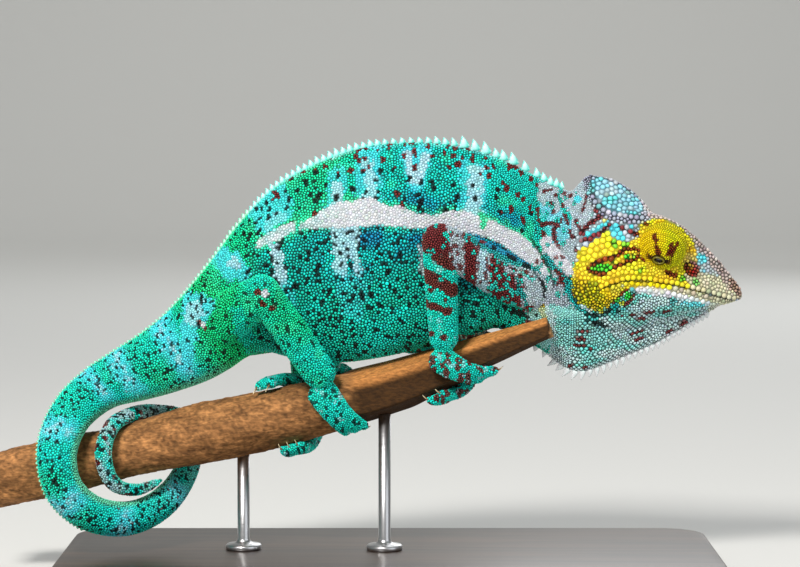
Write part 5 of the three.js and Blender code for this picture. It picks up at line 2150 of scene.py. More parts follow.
@dataclass
class ScaleCoat:
    """Every scale of the animal, laid out over the skin and made in pieces."""

    skin: Skin
    markings: Markings
    seed: int = 5
    big: float = 1.55
    big_share: float = 0.03
    crowding: float = 0.62
    plate_room: float = 0.72
    throat_from: float = 59.5
    throat_to: float = 121.5
    throat_pitch: float = 1.8

    @staticmethod
    def pitch(p: Array) -> Array:
        """The distance wanted between scales at points of the head and body.

        Args:
            p: the points.

        Returns:
            The distances.
        """
        x, z = p[:, 0], p[:, 2]
        flank = smooth(126, 116, z) * smooth(84, 92, z) * smooth(-46, -36, x)
        size = mix(mix(1.0, 1.08, flank), 0.74, smooth(30, 48, x))
        size = mix(size, 0.87, smooth(-46, -60, x))
        size = np.where((x < -68) & (z < 60) & (np.hypot(x + 88, z - 43) < 19), 0.82, size)
        lip = lip_height(x)
        head = np.where(z > lip, 1.3, 1.0)
        head = np.where((x > 72) & (x < 102) & (z > lip + 1.8) & (z < lip + 7), 1.65, head)
        for start, stop, low, high, own in PLATE_FIELDS:
            head = np.where((x > start) & (x < stop) & (z > low) & (z < high), own, head)
        head = np.where((x > 104) & (z > lip), 1.25, head)
        head = np.where(np.abs(np.hypot(x - EyeTurret.x, z - EyeTurret.z) - 9.6) < 1.6, 1.0, head)
        head = np.where((x < 66) | ((x < 72) & (z > 124)), 0.7, head)
        head = np.where((x > 64) & (np.hypot(x - 79, z - 105.5) < 14.5) & (z < lip), 0.95, head)
        return np.where(x > 58, head, size)

    def pitches(self, at: Unwrapped) -> Array:
        """The distance wanted between scales, region by region.

        Args:
            at: the points on the skin.

        Returns:
            The distances.
        """
        size = self.pitch(at.p)
        for region, pitch in REGION_PITCH.items():
            size = np.where(at.within(region), pitch, size)
        return size

    def sizes(self, p: Array, fixed: int) -> Array:
        """Finds how large each scale grows beside its neighbours: a few on the trunk stand out.

        Args:
            p: the scales' places.
            fixed: how many of the first ones are plates.

        Returns:
            The sizes.
        """
        rng = np.random.default_rng(self.seed + 3)
        trunk = (p[:, 0] > -58) & (p[:, 0] < 50)
        stands_out = trunk & (rng.random(len(p)) < self.big_share)
        size = np.where(stands_out, self.big, rng.uniform(0.84, 1.16, len(p)))
        size[:fixed] = self.fixed_sizes
        return size

    def fixed_places(self) -> tuple[Array, Array]:
        """Places for the rows that keep their order: plates of lips and crest, then the throat's rows.

        Returns:
            The points and the longest reach of each.
        """
        found = []
        for side in Side:
            found += [(self.cast_inwards(row.places(side)), row.limit) for row in PLATE_ROWS]
            found.append((self.throat_rows(side), 1.0))
        limits = np.concatenate([np.full(len(points), limit) for points, limit in found])
        return np.concatenate([points for points, _ in found]), limits

    def throat_rows(self, side: Side) -> Array:
        """Places for long scales in rows from the jaw's angle to the chin.

        Args:
            side: the animal's side.

        Returns:
            The points.
        """
        x = np.arange(self.throat_from, self.throat_to, 0.2)
        found = []
        turns = [side.value * k * 2 * np.pi / HEAD_RING for k in np.linspace(5.05, 6.9, 23)]
        rows = [head_surface(x, np.full(len(x), turn), np.ones(len(x)), -COAT) for turn in turns]
        spacing = np.mean([np.linalg.norm(b - a, axis=1) for a, b in zip(rows, rows[1:])], axis=0)
        for n, row in enumerate(rows):
            so_far = travelled(row)
            share = np.arange(int(so_far[-1] / self.throat_pitch)) + 0.5 * (n % 2) + 0.2
            own = resampled(row, so_far, share * self.throat_pitch)
            room = np.interp(own[:, 0], x, spacing)
            stride = np.where(room > 0.8, 1, np.where(room > 0.4, 2, 4))
            found.append(own[n % stride == 0])
        return self.skin.settle_on(np.concatenate(found))[0]

    def free_places(self) -> Array:
        """Rough places for all other scales.

        Returns:
            The points.
        """
        rng = np.random.default_rng(self.seed)
        free = []
        for chart in self.skin.charts:
            if chart.region is Region.BODY:
                free.append(chart.rows_of_scales(self.pitch))
            elif chart.region not in (Region.HEAD, Region.TURRET):
                wanted = REGION_PITCH[chart.region]
                free.append(chart.rows_of_scales(lambda p, wanted=wanted: np.full(len(p), wanted)))
        head = self.skin.points[self.skin.points[:, 0] > 56]
        keep = rng.random(len(head)) < self.skin.voxel**2 / (ROW_SHARE * self.pitch(head) ** 2)
        free.append(head[keep] + rng.normal(0, 0.15, (keep.sum(), 3)))
        free = np.concatenate(free)
        settled, _ = self.skin.settle_on(free)
        settled = settled[np.linalg.norm(settled - free, axis=1) < 0.75]
        settled = self.skin.settle_on(settled + rng.normal(0, 0.24, settled.shape))[0]
        at = self.skin.unwrap(settled)
        low = np.abs(at.angle) / (2 * np.pi) * HEAD_RING > 5.0
        throat = at.within(Region.HEAD) & low & (at.x > self.throat_from) & (at.x < self.throat_to - 0.5)
        return settled[~throat]

    def cast_inwards(self, p: Array) -> Array:
        """Moves points beside the head straight in onto its skin."""
        hits = [self.skin.tree.ray_cast(Vector(q), Vector((0, -np.sign(q[1]), 0)))[0] for q in p]
        return np.array([hit for hit in hits if hit is not None])

    def thin_out(self, p: Array, own_room: Array) -> Array:
        """Finds points that don't crowd an earlier one.

        Args:
            p: the points.
            own_room: the distance that each of the first ones needs.

        Returns:
            Which points stay.
        """
        room = self.pitches(self.skin.unwrap(p)) * self.crowding
        room[: len(own_room)] = own_room
        tree = grown_tree(p)
        keep = np.ones(len(p), bool)
        for turret in TURRETS:
            keep &= ~turret.covers(p)
        for n in range(len(p)):
            if keep[n]:
                for _, other, _ in tree.find_range(p[n], room[n]):
                    if other > n:
                        keep[other] = False
        return keep

    def fill_gaps_with_painted_shade(self, p: Array) -> Array:
        """Adds points where the skin would stay bare.

        Args:
            p: the scales' places.

        Returns:
            The places with the new ones behind them.
        """
        rng = np.random.default_rng(self.seed + 1)
        bare = self.skin.points[rng.permutation(len(self.skin.points))]
        pitch = self.pitches(self.skin.unwrap(bare))
        for turret in TURRETS:
            pitch = np.where(turret.covers(bare), 1e3, pitch)
        wide = self.room_at(p, bare) > 0.78 * pitch
        bare, pitch = bare[wide], pitch[wide]
        tree = grown_tree(bare)
        free = np.ones(len(bare), bool)
        added = []
        for n in range(len(bare)):
            if free[n]:
                added.append(bare[n])
                for _, other, _ in tree.find_range(bare[n], 0.85 * pitch[n]):
                    free[other] = False
        return np.concatenate([p, np.array(added)]) if added else p

    def room_at(self, p: Array, others: Array) -> Array:
        """How far each of the others lies from the nearest point, less that point's extra size.

        Args:
            p: the points.
            others: the others.

        Returns:
            The distances.
        """
        tree = grown_tree(p)
        extra = np.zeros(len(p))
        extra[: len(self.fixed_sizes)] = 0.8 * (self.fixed_sizes - 1)
        found = [tree.find(q) for q in others]
        return np.array([away - extra[n] for _, n, away in found])

    def relax(self, p: Array, size: Array, fixed: int, rounds: int) -> Array:
        """Evens out the distances between scales.

        Args:
            p: the points.
            size: how large each scale grows beside its neighbours.
            fixed: how many of the first ones don't move.
            rounds: how many times.

        Returns:
            The moved points.
        """
        for _ in range(rounds):
            near, away = neighbours(p, 7)
            wanted = 1.06 * self.pitches(self.skin.unwrap(p))[:, None] * (size[:, None] + size[near]) / 2
            push = unit(p[:, None] - p[near]) * np.maximum(0, wanted - away)[:, :, None]
            moved = p + 0.3 * push.sum(1)
            moved[:fixed] = p[:fixed]
            p = self.skin.settle_on(moved)[0]
        return p

    def places(self) -> tuple[Array, Array, Array]:
        """Finds every scale's place, plates first.

        Returns:
            The points, the plates' longest reach and how large each scale grows.
        """
        p, limit = self.fixed_places()
        keep = self.thin_out(p, np.full(len(p), self.plate_room))
        p, limit = p[keep], limit[keep]
        fixed = len(p)
        self.fixed_sizes = np.select([limit > 1.1, limit < 0.9], [1.6, 1.25], 1.0)
        p = np.concatenate([p, self.free_places()])
        keep = self.thin_out(p, self.plate_room * self.fixed_sizes**1.4)
        keep[:fixed] = True
        p = p[keep]
        p = self.relax(p, self.sizes(p, fixed), fixed, 4)
        p = self.fill_gaps_with_painted_shade(p)
        size = self.sizes(p, fixed)
        return self.relax(p, size, fixed, 4), limit, size

    @staticmethod
    def cells(p: Array, out: Array, first: Array, size: Array) -> Array:
        """Measures how far each scale may reach towards each of its sides.

        Args:
            p: the scales' places.
            out: their outward directions.
            first: the direction of their first side.
            size: how large each grows beside its neighbours.

        Returns:
            The distances, a row for each scale.
        """
        near, away = neighbours(p, 9)
        offset = p[near] - p[:, None]
        turns = np.arange(SIDES) / SIDES * 2 * np.pi
        toward = (offset * first[:, None]).sum(2)[:, :, None] * np.cos(turns)
        toward = toward + (offset * np.cross(out, first)[:, None]).sum(2)[:, :, None] * np.sin(turns)
        border = (away**2 * size[:, None] / (size[:, None] + size[near]))[:, :, None]
        return np.where(toward > 0.15 * away[:, :, None], border / np.maximum(toward, 1e-6), 9.0).min(1)

    def lay_out(self) -> None:
        """Finds the place, frame, cell and colour of every scale."""
        p, limit, size = self.places()
        fixed = len(limit)
        p, faces = self.skin.settle_on(p)
        self.at = self.skin.unwrap(p)
        pitch = self.pitches(self.at)
        reach = 0.68 * pitch * size
        reach[:fixed] = limit
        out = self.skin.normals_at(faces)
        first = unit(np.cross(out, np.array([0.31, 0.05, 0.95])))
        rng = np.random.default_rng(self.seed + 2)
        shade = rng.normal(0, 0.16, (len(p), 1)) + rng.normal(0, 0.04, (len(p), 3))
        colour = self.markings.colours(self.at) * (1 + shade)
        crowd = mix(0.87, 0.97, smooth(0.2, 0.55, colour.mean(1)))
        crowd[:fixed] = np.where(limit < 1.05, 0.83, 0.93)
        cells = np.minimum(self.cells(p, out, first, size), reach[:, None]) * crowd[:, None]
        flat = (np.arange(len(p)) < fixed) | (pitch > 1.5)
        height = np.minimum(cells.mean(1) * np.where(flat, 0.34, 0.6), 0.42)
        shoulder = np.where(flat, 0.86, 0.68)
        # The scales' feet are painted darker, as painted shade where they meet the skin.
        rim = self.markings.edge(colour, self.at, 0.4, 0.72)
        self.scales = Scales(p, out, first, cells, height, shoulder, colour, rim, np.zeros((len(p), 2)))
        log.info("scales: %d", len(p))

    def piece_of(self) -> tuple[Array, list[str]]:
        """Shares the scales out among pieces.

        Returns:
            Each scale's piece number and the pieces' names.
        """
        at = self.at
        left = at.p[:, 1] > 0
        names, share = [], np.full(len(at.p), -1)

        def claim(name: str, who: Array) -> None:
            """Gives a new piece the chosen scales that no other piece has."""
            who = who & (share < 0)
            if who.any():
                share[who] = len(names)
                names.append(name)

        station = at.t * LAST_STATION
        body = at.within(Region.BODY)
        for side, here in (("left", left), ("right", ~left)):
            for name, regions in REGION_PIECES.items():
                claim(f"{name}_scales_{side}", at.within(*regions) & here)
            for name, last in SIDE_PIECES.items():
                claim(f"{name}_scales_{side}", body & (station < last) & here)
        for name, last in TAIL_PIECES.items():
            claim(f"tail_scales_{name}", body & (station < last))
        return share, names

    def build(self) -> list[bpy.types.Object]:
        """Makes the scales.

        Returns:
            The pieces.
        """
        share, names = self.piece_of()
        finish = PaintedFinish("scales", roughness=0.42, specular=0.2, grain=0.00035, bump=0.2).material()
        pieces = []
        for number, name in enumerate(names):
            who = share == number
            self.scales.unwrapped[who] = self.unwrapped(who)
            pieces.append(self.scales.chosen(who).piece(name, finish))
        return pieces

    def unwrapped(self, who: Array) -> Array:
        """The roots' places on the skin's unwrap: one strip for each form of the piece.

        Args:
            who: which scales.

        Returns:
            The places.
        """
        charts = self.at.chart[who]
        kinds, strip = np.unique(charts, return_inverse=True)
        t = self.at.t[who]
        along = (t - t.min()) / max(float(np.ptp(t)), 1e-6)
        round_it = (self.at.angle[who] / (2 * np.pi)) % 1.0
        return 0.01 + 0.98 * np.stack([along, (strip + round_it) / len(kinds)], 1)


@dataclass
class TurretScales:
    """Fine scales in rings round each pupil."""

    skin: Skin
    markings: Markings
    pitch: float = 0.8
    opening: float = 8.0
    reach: float = 128.0
    lid_room: float = 0.75

    def build(self) -> list[bpy.types.Object]:
        """Makes both turrets' scales."""
        return [self.one(turret) for turret in TURRETS]

    def one(self, turret: EyeTurret) -> bpy.types.Object:
        """Makes one turret's scales.

        Args:
            turret: the turret.

        Returns:
            The piece.
        """
        long, across = turret.axes()
        radius = turret.radius - COAT
        rng = np.random.default_rng(31 + turret.side.value)
        roots, outs, tones = [], [], []
        rings = np.radians(np.arange(self.opening, self.reach, math.degrees(self.pitch / radius)))
        for n, off in enumerate(rings):
            count = max(8, round(2 * math.pi * radius * math.sin(off) / (self.pitch * 1.04)))
            turns = (np.arange(count) + (n % 2) / 2 + rng.normal(0, 0.05, count)) / count * 2 * np.pi
            out = turret.direction(np.full(count, off), turns, np.ones(count))
            roots.append(turret.centre + out * radius * (1 + 0.012 * math.cos(off)))
            outs.append(out)
            tones.append(np.full(count, 0.72 if n % 3 == 2 else 1.0))
        p, out, tone = np.concatenate(roots), np.concatenate(outs), np.concatenate(tones)
        away = p - turret.centre
        half_long, half_across = Eyes.half_opening
        beside_long = away @ long / (half_long + self.lid_room)
        clear = np.hypot(beside_long, away @ across / (half_across + self.lid_room)) > 1
        clear |= away @ turret.looks < 0
        clear &= np.array([self.skin.tree.find_nearest(q)[3] for q in p]) < 0.5
        p, out, tone = p[clear], out[clear], tone[clear]
        at = self.skin.unwrap(p)
        at.region[:] = ORDER[Region.TURRET]
        colour = self.markings.colours(at) * (1 + rng.normal(0, 0.09, (len(p), 1))) * tone[:, None]
        cells = np.full((len(p), SIDES), self.pitch * 0.47)
        polar = unit(p - turret.centre)
        flat = 0.3 * np.stack([polar @ long, polar @ across], 1)
        flat = flat * (1.35 - 0.35 * (polar @ turret.looks))[:, None]
        each = np.ones(len(p))
        first = unit(np.cross(out, turret.looks))
        # 0.4: the share of colour kept at each lid scale's foot, painted shade round its base; their tops are
        #      painted lighter.
        scales = Scales(p, out, first, cells, 0.26 * each, 0.68 * each, colour, 0.4 * each, 0.5 + flat)
        finish = PaintedFinish("lid scales", roughness=0.4, specular=0.2, grain=0.0003).material()
        return scales.piece(f"eye_turret_scales_{turret.side.name.lower()}", finish)


# ---------------------------------------------------------------- eyes, spines and claws
@dataclass
class Eyes:
    """The eyeballs' showing part and the rims of the lids round them."""

    ball: float = 3.4
    half_opening: tuple[float, float] = (1.9, 1.35)
    rim: float = 0.32
    iris: Array = field(default_factory=lambda: linear(10, 7, 6))
    gold: Array = field(default_factory=lambda: linear(150, 98, 30))

    def build(self) -> None:
        """Makes both eyes."""
        for turret in TURRETS:
            side = turret.side.name.lower()
            self.eyeball(turret, f"eyeball_{side}")
            self.lid(turret, f"lid_rim_{side}")

    def eyeball(self, turret: EyeTurret, node: str) -> None:
        """Makes one eye, dark with a golden ring.

        Args:
            turret: the turret that it looks out of.
            node: the node that it replaces.
        """
        centre = turret.centre + turret.looks * (turret.radius - COAT + 0.12 - self.ball)

        def surface(t: Array, angle: Array, reach: Array) -> Array:
            """Points of the ball."""
            return centre + turret.direction(np.pi * t, angle, reach) * self.ball

        bm = bmesh.new()
        add_loft(bm, surface, 40, 60)
        made = finish_mesh(bm, "eye_" + turret.side.name.lower())
        p = points_of(made.data)
        off = np.degrees(np.arccos(np.clip(unit(p - centre) @ turret.looks, -1, 1)))
        paint(made.data, blend(self.iris, self.gold, smooth(17, 18.5, off) * smooth(23, 21, off)))
        finish = PaintedFinish("wet eye", roughness=0.06, specular=0.6, bump=0.0, coat=1.0)
        settle(made, finish.material(), "eye", node)

    def lid(self, turret: EyeTurret, name: str) -> None:
        """Makes the thick edge of the fused lids.

        Args:
            turret: the turret that it rims.
            name: the piece's name.
        """
        long, across = turret.axes()
        bm = bmesh.new()
        bmesh.ops.create_grid(bm, x_segments=48, y_segments=10, size=1)
        for vert in bm.verts:
            turn, roll = vert.co.x * math.pi, vert.co.y * math.pi
            a, b = self.half_opening
            width = 1 + self.rim * (1 - math.cos(roll)) / 1.3
            flat = long * (math.cos(turn) * (a + self.rim * math.cos(roll)))
            flat = flat + across * (math.sin(turn) * (b + self.rim * math.cos(roll)))
            lift = self.rim * 0.8 * math.sin(roll)
            radius = turret.radius - COAT + 0.16 + lift - 0.045 * float(flat @ flat)
            p = turret.centre + flat + turret.looks * radius * (0.5 + 0.5 * min(width, 1))
            vert.co = Vector(p * MM)
        bmesh.ops.remove_doubles(bm, verts=bm.verts, dist=1e-6)
        made = finish_mesh(bm, name)
        p = points_of(made.data)
        dark = smooth(0.3, -0.6, (p - turret.centre) @ turret.looks - turret.radius + 0.2)
        paint(made.data, blend(Tint.MUSTARD.light * 0.28, Tint.NEAR_BLACK.light, dark))
        settle(made, PaintedFinish("lid rim", roughness=0.35, coat=0.2).material(), "skin")


@dataclass
class CrestSpines:
    """The rows of soft spines along the back and under the chin."""

    front: tuple[tuple[float, float], ...] = (
        (61.6, 2.1), (59.8, 2.8), (57.6, 3.1), (55.4, 2.9), (52.9, 3.1), (48.7, 3.5), (44.4, 4.4),
        (40.9, 3.7), (38.2, 3.2), (34.6, 4.4), (30.7, 4.0), (26.8, 4.15),
    )
    heights: tuple[tuple[float, float], ...] = (
        (-104, 0.6), (-80, 0.8), (-60, 1.3), (-45, 2.0), (-32, 2.4), (-18, 2.7), (-8, 2.3), (2, 2.05),
        (14, 2.05), (20, 2.6), (25, 3.4),
    )

    def build(self) -> None:
        """Makes both rows."""
        bm, colours = bmesh.new(), []
        for x, height in self.front:
            foot, run, up = self.on_back(x)
            radius = 0.4 * height + 0.35
            colours.append(self.cone(bm, foot, up + 0.12 * run, run, height, radius, Tint.TURQUOISE))
        stations = np.linspace(0, 19, 4000)
        line = body_surface(stations, np.zeros(4000), np.ones(4000))
        so_far = travelled(line)
        at = float(np.interp(-23.2, -line[:, 0][:1600], so_far[:1600]))
        while at < so_far[-1]:
            k = float(np.interp(at, so_far, stations))
            x = float(np.interp(at, so_far, line[:, 0]))
            pitch = mix(1.6, 2.5, float(smooth(-75, -20, x)) * (k < 14))
            height = float(np.interp(x, *np.transpose(self.heights))) if k < 14 else 0.5
            height *= 0.9 + 0.2 * math.sin(37 * k) ** 2
            foot, run, up = self.frame_on_body(k, 0.0)
            tint = Tint.TURQUOISE if x > -50 else Tint.GREEN
            radius = min(pitch * 0.56, 0.3 + 0.5 * height)
            colours.append(self.cone(bm, foot, up + 0.25 * run, run, height, radius, tint))
            at += pitch * mix(1, 1.25, float(smooth(-6, 4, x)))
        self.finish(bm, colours, "back_spines")
        bm, colours = bmesh.new(), []
        x, start, stop = 114.0, 114.0, 58.2
        while x > stop:
            t = (start - x) / (start - stop)
            pitch = mix(1.9, 2.9, t)
            keel = row_at(HEAD_LINES["keel"], np.array([x, x - 0.5]))
            foot = np.array([x, 0, keel[0, 1]])
            run = unit(np.array([-0.5, 0, keel[1, 1] - keel[0, 1]]))
            down = np.array([run[2], 0, -run[0]])
            down = down if down[2] < 0 else -down
            height = mix(1.3, 2.8, min(1, 1.25 * t)) * (0.85 + 0.3 * math.sin(29 * x) ** 2)
            colours.append(self.cone(bm, foot, down + 0.2 * run, run, height, 1.15, Tint.CHALK))
            x -= pitch * 0.5 / (math.hypot(0.5, keel[1, 1] - keel[0, 1]))
        for k in (0.3, 0.72, 1.1, 1.5):
            foot, run, down = self.frame_on_body(k, math.pi)
            height = mix(2.4, 1.2, k / 1.3)
            colours.append(self.cone(bm, foot, down + 0.25 * run, run, height, 1.1, Tint.CHALK))
        self.finish(bm, colours, "chin_spines")

    def on_back(self, x: float) -> tuple[Array, Array, Array]:
        """A point of the nape's or back's ridge with the directions backwards and outwards.

        Args:
            x: its place along the animal.

        Returns:
            The point, the direction backwards and the direction outwards.
        """
        stations = np.linspace(0, 4, 200)
        ridge = spline(SPINE, stations)[:, :2]
        if x < ridge[0, 0]:
            return self.frame_on_body(float(np.interp(-x, -ridge[:, 0], stations)), 0.0)
        z = row_at(HEAD_LINES["crown"], np.array([x + 0.5, x - 0.5, x]))[:, 1]
        run = unit(np.array([-1.0, 0, z[1] - z[0]]))
        return np.array([x, 0, z[2]]), run, np.array([run[2], 0, -run[0]])

    @staticmethod
    def frame_on_body(k: float, angle: float) -> tuple[Array, Array, Array]:
        """A point of the body's surface with the directions backwards and outwards.

        Args:
            k: its station along the body.
            angle: its angle round the body.

        Returns:
            The point, the direction backwards and the direction outwards.
        """
        at, turn = np.array([k, k + 0.05, k]), np.full(3, angle)
        p = body_surface(at, turn, np.array([1.0, 1, 0]))
        return p[0], unit(p[1] - p[0]), unit(p[0] - p[2])

    @staticmethod
    def cone(bm: bmesh.types.BMesh, foot: Array, up: Array, run: Array, height: float, radius: float,
             tint: Tint) -> Array:
        """Adds one spine that leans back and narrows to a point.

        Args:
            bm: the mesh it joins.
            foot: where it grows.
            up: where it points.
            run: the direction along the row.
            height: how tall it is.
            radius: its half-length at the foot.
            tint: its colour at the foot.

        Returns:
            Its vertices' colours.
        """
        up = unit(up)
        side = unit(np.cross(run, up))
        front = np.cross(up, side)
        sunk = 0.9

        def surface(t: Array, angle: Array, reach: Array) -> Array:
            """Points of the spine.

            Args:
                t: shares of its length.
                angle: angles round it.
                reach: 0 at the two poles, 1 elsewhere.

            Returns:
                The points.
            """
            tall = mix(-sunk, height, t)
            share = np.clip(tall / height, 0, 1)
            wide = (radius * (1 - share**1.25) + 0.03) * reach
            centre = foot + up * tall[:, None] + front * (0.12 * height * share**2)[:, None]
            return oval(centre, front, wide, side, 0.62 * wide, angle)

        made = add_loft(bm, surface, 10, 8)
        tall = np.clip((np.array([v.co for v in made]) / MM - foot) @ up / height, 0, 1)[:, None]
        return tint.light * 0.85 * (1 - tall) + linear(226, 244, 242) * tall

    @staticmethod
    def finish(bm: bmesh.types.BMesh, colours: list[Array], name: str) -> None:
        """Turns a row of spines into a piece.

        Args:
            bm: the row's mesh, which is freed.
            colours: the spines' colours.
            name: the piece's name.
        """
        made = finish_mesh(bm, name)
        paint(made.data, np.concatenate(colours))
        finish = PaintedFinish("soft spines", roughness=0.5, specular=0.25, grain=0.0005)
        settle(made, finish.material(), "skin")


@dataclass
class Claws:
    """The hooked claws at the toes' ends."""

    length: float = 3.6
    root: float = 0.72
    tip: float = 0.12

    def build(self) -> None:
        """Makes one piece of claws for each bundle of toes."""
        horn = PaintedFinish("pale horn", roughness=0.28, specular=0.5, grain=0.0006, bump=0.3, coat=0.3)
        finish = horn.material()
        for bundle in BUNDLES:
            bm = bmesh.new()
            for n in range(bundle.count):
                self.claw(bm, bundle, n)
            made = finish_mesh(bm, "claws_" + bundle.name)
            p = points_of(made.data)
            ends = np.array([bundle.axis(np.array([0.97]), bundle.aside(n))[0] for n in range(bundle.count)])
            away = np.linalg.norm(p[:, None] - ends[None], axis=2).min(1)
            paint(made.data, blend(linear(120, 96, 66), linear(226, 208, 168), smooth(0.8, 3.0, away)))
            nodes = [f"claw_{bundle.name.replace('foot', '')}_{n + 1}" for n in range(bundle.count)]
            settle(made, finish, "claw", *nodes)

    def claw(self, bm: bmesh.types.BMesh, bundle: ToeBundle, n: int) -> None:
        """Adds one claw.

        Args:
            bm: the mesh it joins.
            bundle: the toes it grows from.
            n: which toe.
        """
        centre, run, out, across = (v[0] for v in bundle.frame_at(np.array([0.95]), bundle.aside(n)))

        def surface(t: Array, angle: Array, reach: Array) -> Array:
            """Points of the claw.

            Args:
                t: shares of its length.
                angle: angles round it.
                reach: 0 at the two poles, 1 elsewhere.

            Returns:
                The points.
            """
            bend = 0.5 * t * t - 0.15 * t
            p = centre + self.length * (run * t[:, None] - out * bend[:, None])
            wide = mix(self.root, self.tip, t**0.8) * reach
            return oval(p, across, 0.7 * wide, out, wide, angle)

        add_loft(bm, surface, 10, 12)


# ---------------------------------------------------------------- perch and stand
@dataclass
class Perch:
    """The cut branch: bark behind and whittled flats in front."""

    rings: int = 300
    around: int = 110
    whittled: tuple[float, float] = (-18, -10)

    def build(self) -> bpy.types.Object:
        """Makes the branch.

        Returns:
            Its object.
        """
        noise, fine = Noise(41), Noise(42)
        start, stop = BRANCH[0][0], BRANCH[-1][0]

        def surface(t: Array, angle: Array, reach: Array) -> Array:
            """Points of the wood.

            Args:
                t: shares of its length.
                angle: angles round it.
                reach: 0 at the two poles, 1 elsewhere.

            Returns:
                The points.
            """
            x = mix(start, stop, np.clip((t * self.rings - 3) / (self.rings - 6), 0, 1))
            cap = np.minimum(np.minimum(t * self.rings, (1 - t) * self.rings) / 3, 1)
            degrees = np.degrees(angle)
            radius = row_at(BRANCH, x)[:, 3]
            flesh = branch_point(x, degrees, radius)
            facet = np.pi / 5
            flat = np.cos(facet) / np.cos(((angle + 0.35) % (2 * facet)) - facet)
            whittled = smooth(*self.whittled, x)
            knobbly = 1 + 0.03 * np.sin(3 * angle + x / 17) + 0.02 * np.sin(5 * angle - x / 9)
            radius = radius * mix(knobbly, flat * 1.09, whittled)
            bark = 0.28 * noise.at(flesh, (4.5, 1.6, 1.6)) + 0.16 * fine.at(flesh, 0.9)
            cuts = 0.16 * noise.at(flesh, (9, 3, 3))
            return branch_point(x, degrees, (radius + mix(bark, cuts, whittled) - 0.25) * reach * cap)

        bm = bmesh.new()
        add_loft(bm, surface, self.around, self.rings)
        made = finish_mesh(bm, "perch_branch")
        p = points_of(made.data)
        axis = row_at(BRANCH, p[:, 0])
        off = p - axis[:, :3]
        tone = 0.5 + 0.5 * noise.at(p, (6, 2, 2))
        bark = blend(linear(108, 72, 40), linear(172, 120, 72), tone) * (1 + 0.55 * noise.at(p, 0.9))[:, None]
        # The whittled wood is painted lighter on its top, as painted light, and dark brown on its sides and
        # underside, as painted shade.
        lit_top_share = smooth(0.45, 0.8, (off[:, 2] - 0.25 * off[:, 1]) / axis[:, 3])
        cut = blend(linear(64, 40, 14), linear(186, 124, 66), lit_top_share) * (0.86 + 0.28 * tone)[:, None]
        rings = 0.5 + 0.5 * np.sin(9 * np.linalg.norm(off[:, 1:], axis=1) + 2 * noise.at(p, 3))
        grain = blend(linear(150, 104, 62), linear(196, 146, 98), rings)
        ends = np.maximum(smooth(stop - 0.3, stop, p[:, 0]), smooth(start + 0.3, start, p[:, 0]))
        paint(made.data, blend(blend(bark, cut, smooth(*self.whittled, p[:, 0])), grain, ends))
        return settle(made, BranchFinish().material(), "perch", "perch")


@dataclass
class DisplayStand:
    """A bevelled board with two turned rods up to the branch."""

    length: float = 236
    width: float = 104
    thick: float = 8
    corner: float = 16
    rim: float = 1.1
    rods: tuple[tuple[str, float], ...] = (("front", -2.0), ("rear", -53.0))
    flange: tuple[tuple[float, float], ...] = (
        (0, 0), (6.2, 0), (6.5, 0.3), (6.5, 1.4), (6.1, 1.9), (3.4, 2.3), (2.5, 3), (2.2, 4))

    def build(self) -> None:
        """Makes the board and the rods."""
        bm = bmesh.new()
        bmesh.ops.create_cube(bm, size=1)
        bmesh.ops.scale(bm, vec=Vector((self.length, self.width, self.thick)) * MM, verts=bm.verts)
        bmesh.ops.translate(bm, vec=Vector((0, 0, self.thick / 2 * MM)), verts=bm.verts)
        upright = [e for e in bm.edges if abs(e.verts[0].co.z - e.verts[1].co.z) > self.thick / 2 * MM]
        bmesh.ops.bevel(bm, geom=upright, offset=self.corner * MM, affect="EDGES", segments=14,
                        profile=0.5, material=-1)
        rims = [e for e in bm.edges if len(e.link_faces) == 2 and e.calc_face_angle() > 1.2]
        bmesh.ops.bevel(bm, geom=rims, offset=self.rim * MM, affect="EDGES", segments=4,
                        profile=0.5, material=-1)
        board = finish_mesh(bm, "display_base")
        settle(board, BaseWoodFinish().material(), "stand_base", "stand_base")
        steel = SteelFinish().material()
        for name, x in self.rods:
            self.rod(name, x, steel)

    def rod(self, name: str, x: float, steel: bpy.types.Material) -> None:
        """Turns one rod with its foot flange.

        Args:
            name: which rod.
            x: where it stands.
            steel: its material.
        """
        _, y, z, radius = row_at(BRANCH, x)[0]
        top = z - radius + 0.6
        foot = self.thick + 0.05
        profile = [*((r, foot + h) for r, h in self.flange), (2.2, top), (0, top)]
        bm = bmesh.new()
        outline = [bm.verts.new((r * MM, 0, h * MM)) for r, h in profile]
        edges = [bm.edges.new(pair) for pair in zip(outline, outline[1:])]
        bmesh.ops.spin(bm, geom=outline + edges, cent=(0, 0, 0), axis=(0, 0, 1), angle=2 * math.pi, steps=48,
                       use_merge=True)
        bmesh.ops.remove_doubles(bm, verts=bm.verts, dist=1e-6)
        bmesh.ops.translate(bm, vec=Vector((x, y, 0)) * MM, verts=bm.verts)
        settle(finish_mesh(bm, f"display_rod_{name}"), steel, "stand_rod", f"stand_rod_{name}")


# ---------------------------------------------------------------- studio
@dataclass(frozen=True)
class Lamp:
    """A soft lamp that faces the animal or another place."""

    name: str
    place: tuple[float, float, float]
    size: float
    power: float
    colour: tuple[float, float, float]
    aim: tuple[float, float, float] = (0, 0, 100)

    def build(self) -> None:
        """Hangs the lamp."""
        light = bpy.data.lights.new(self.name, "AREA")
        light.size, light.energy, light.color = self.size, self.power, self.colour
        lamp = linked(self.name, light)
        lamp.location = Vector(self.place) * MM
        lamp.rotation_euler = (Vector(self.aim) * MM - lamp.location).to_track_quat("-Z", "Y").to_euler()


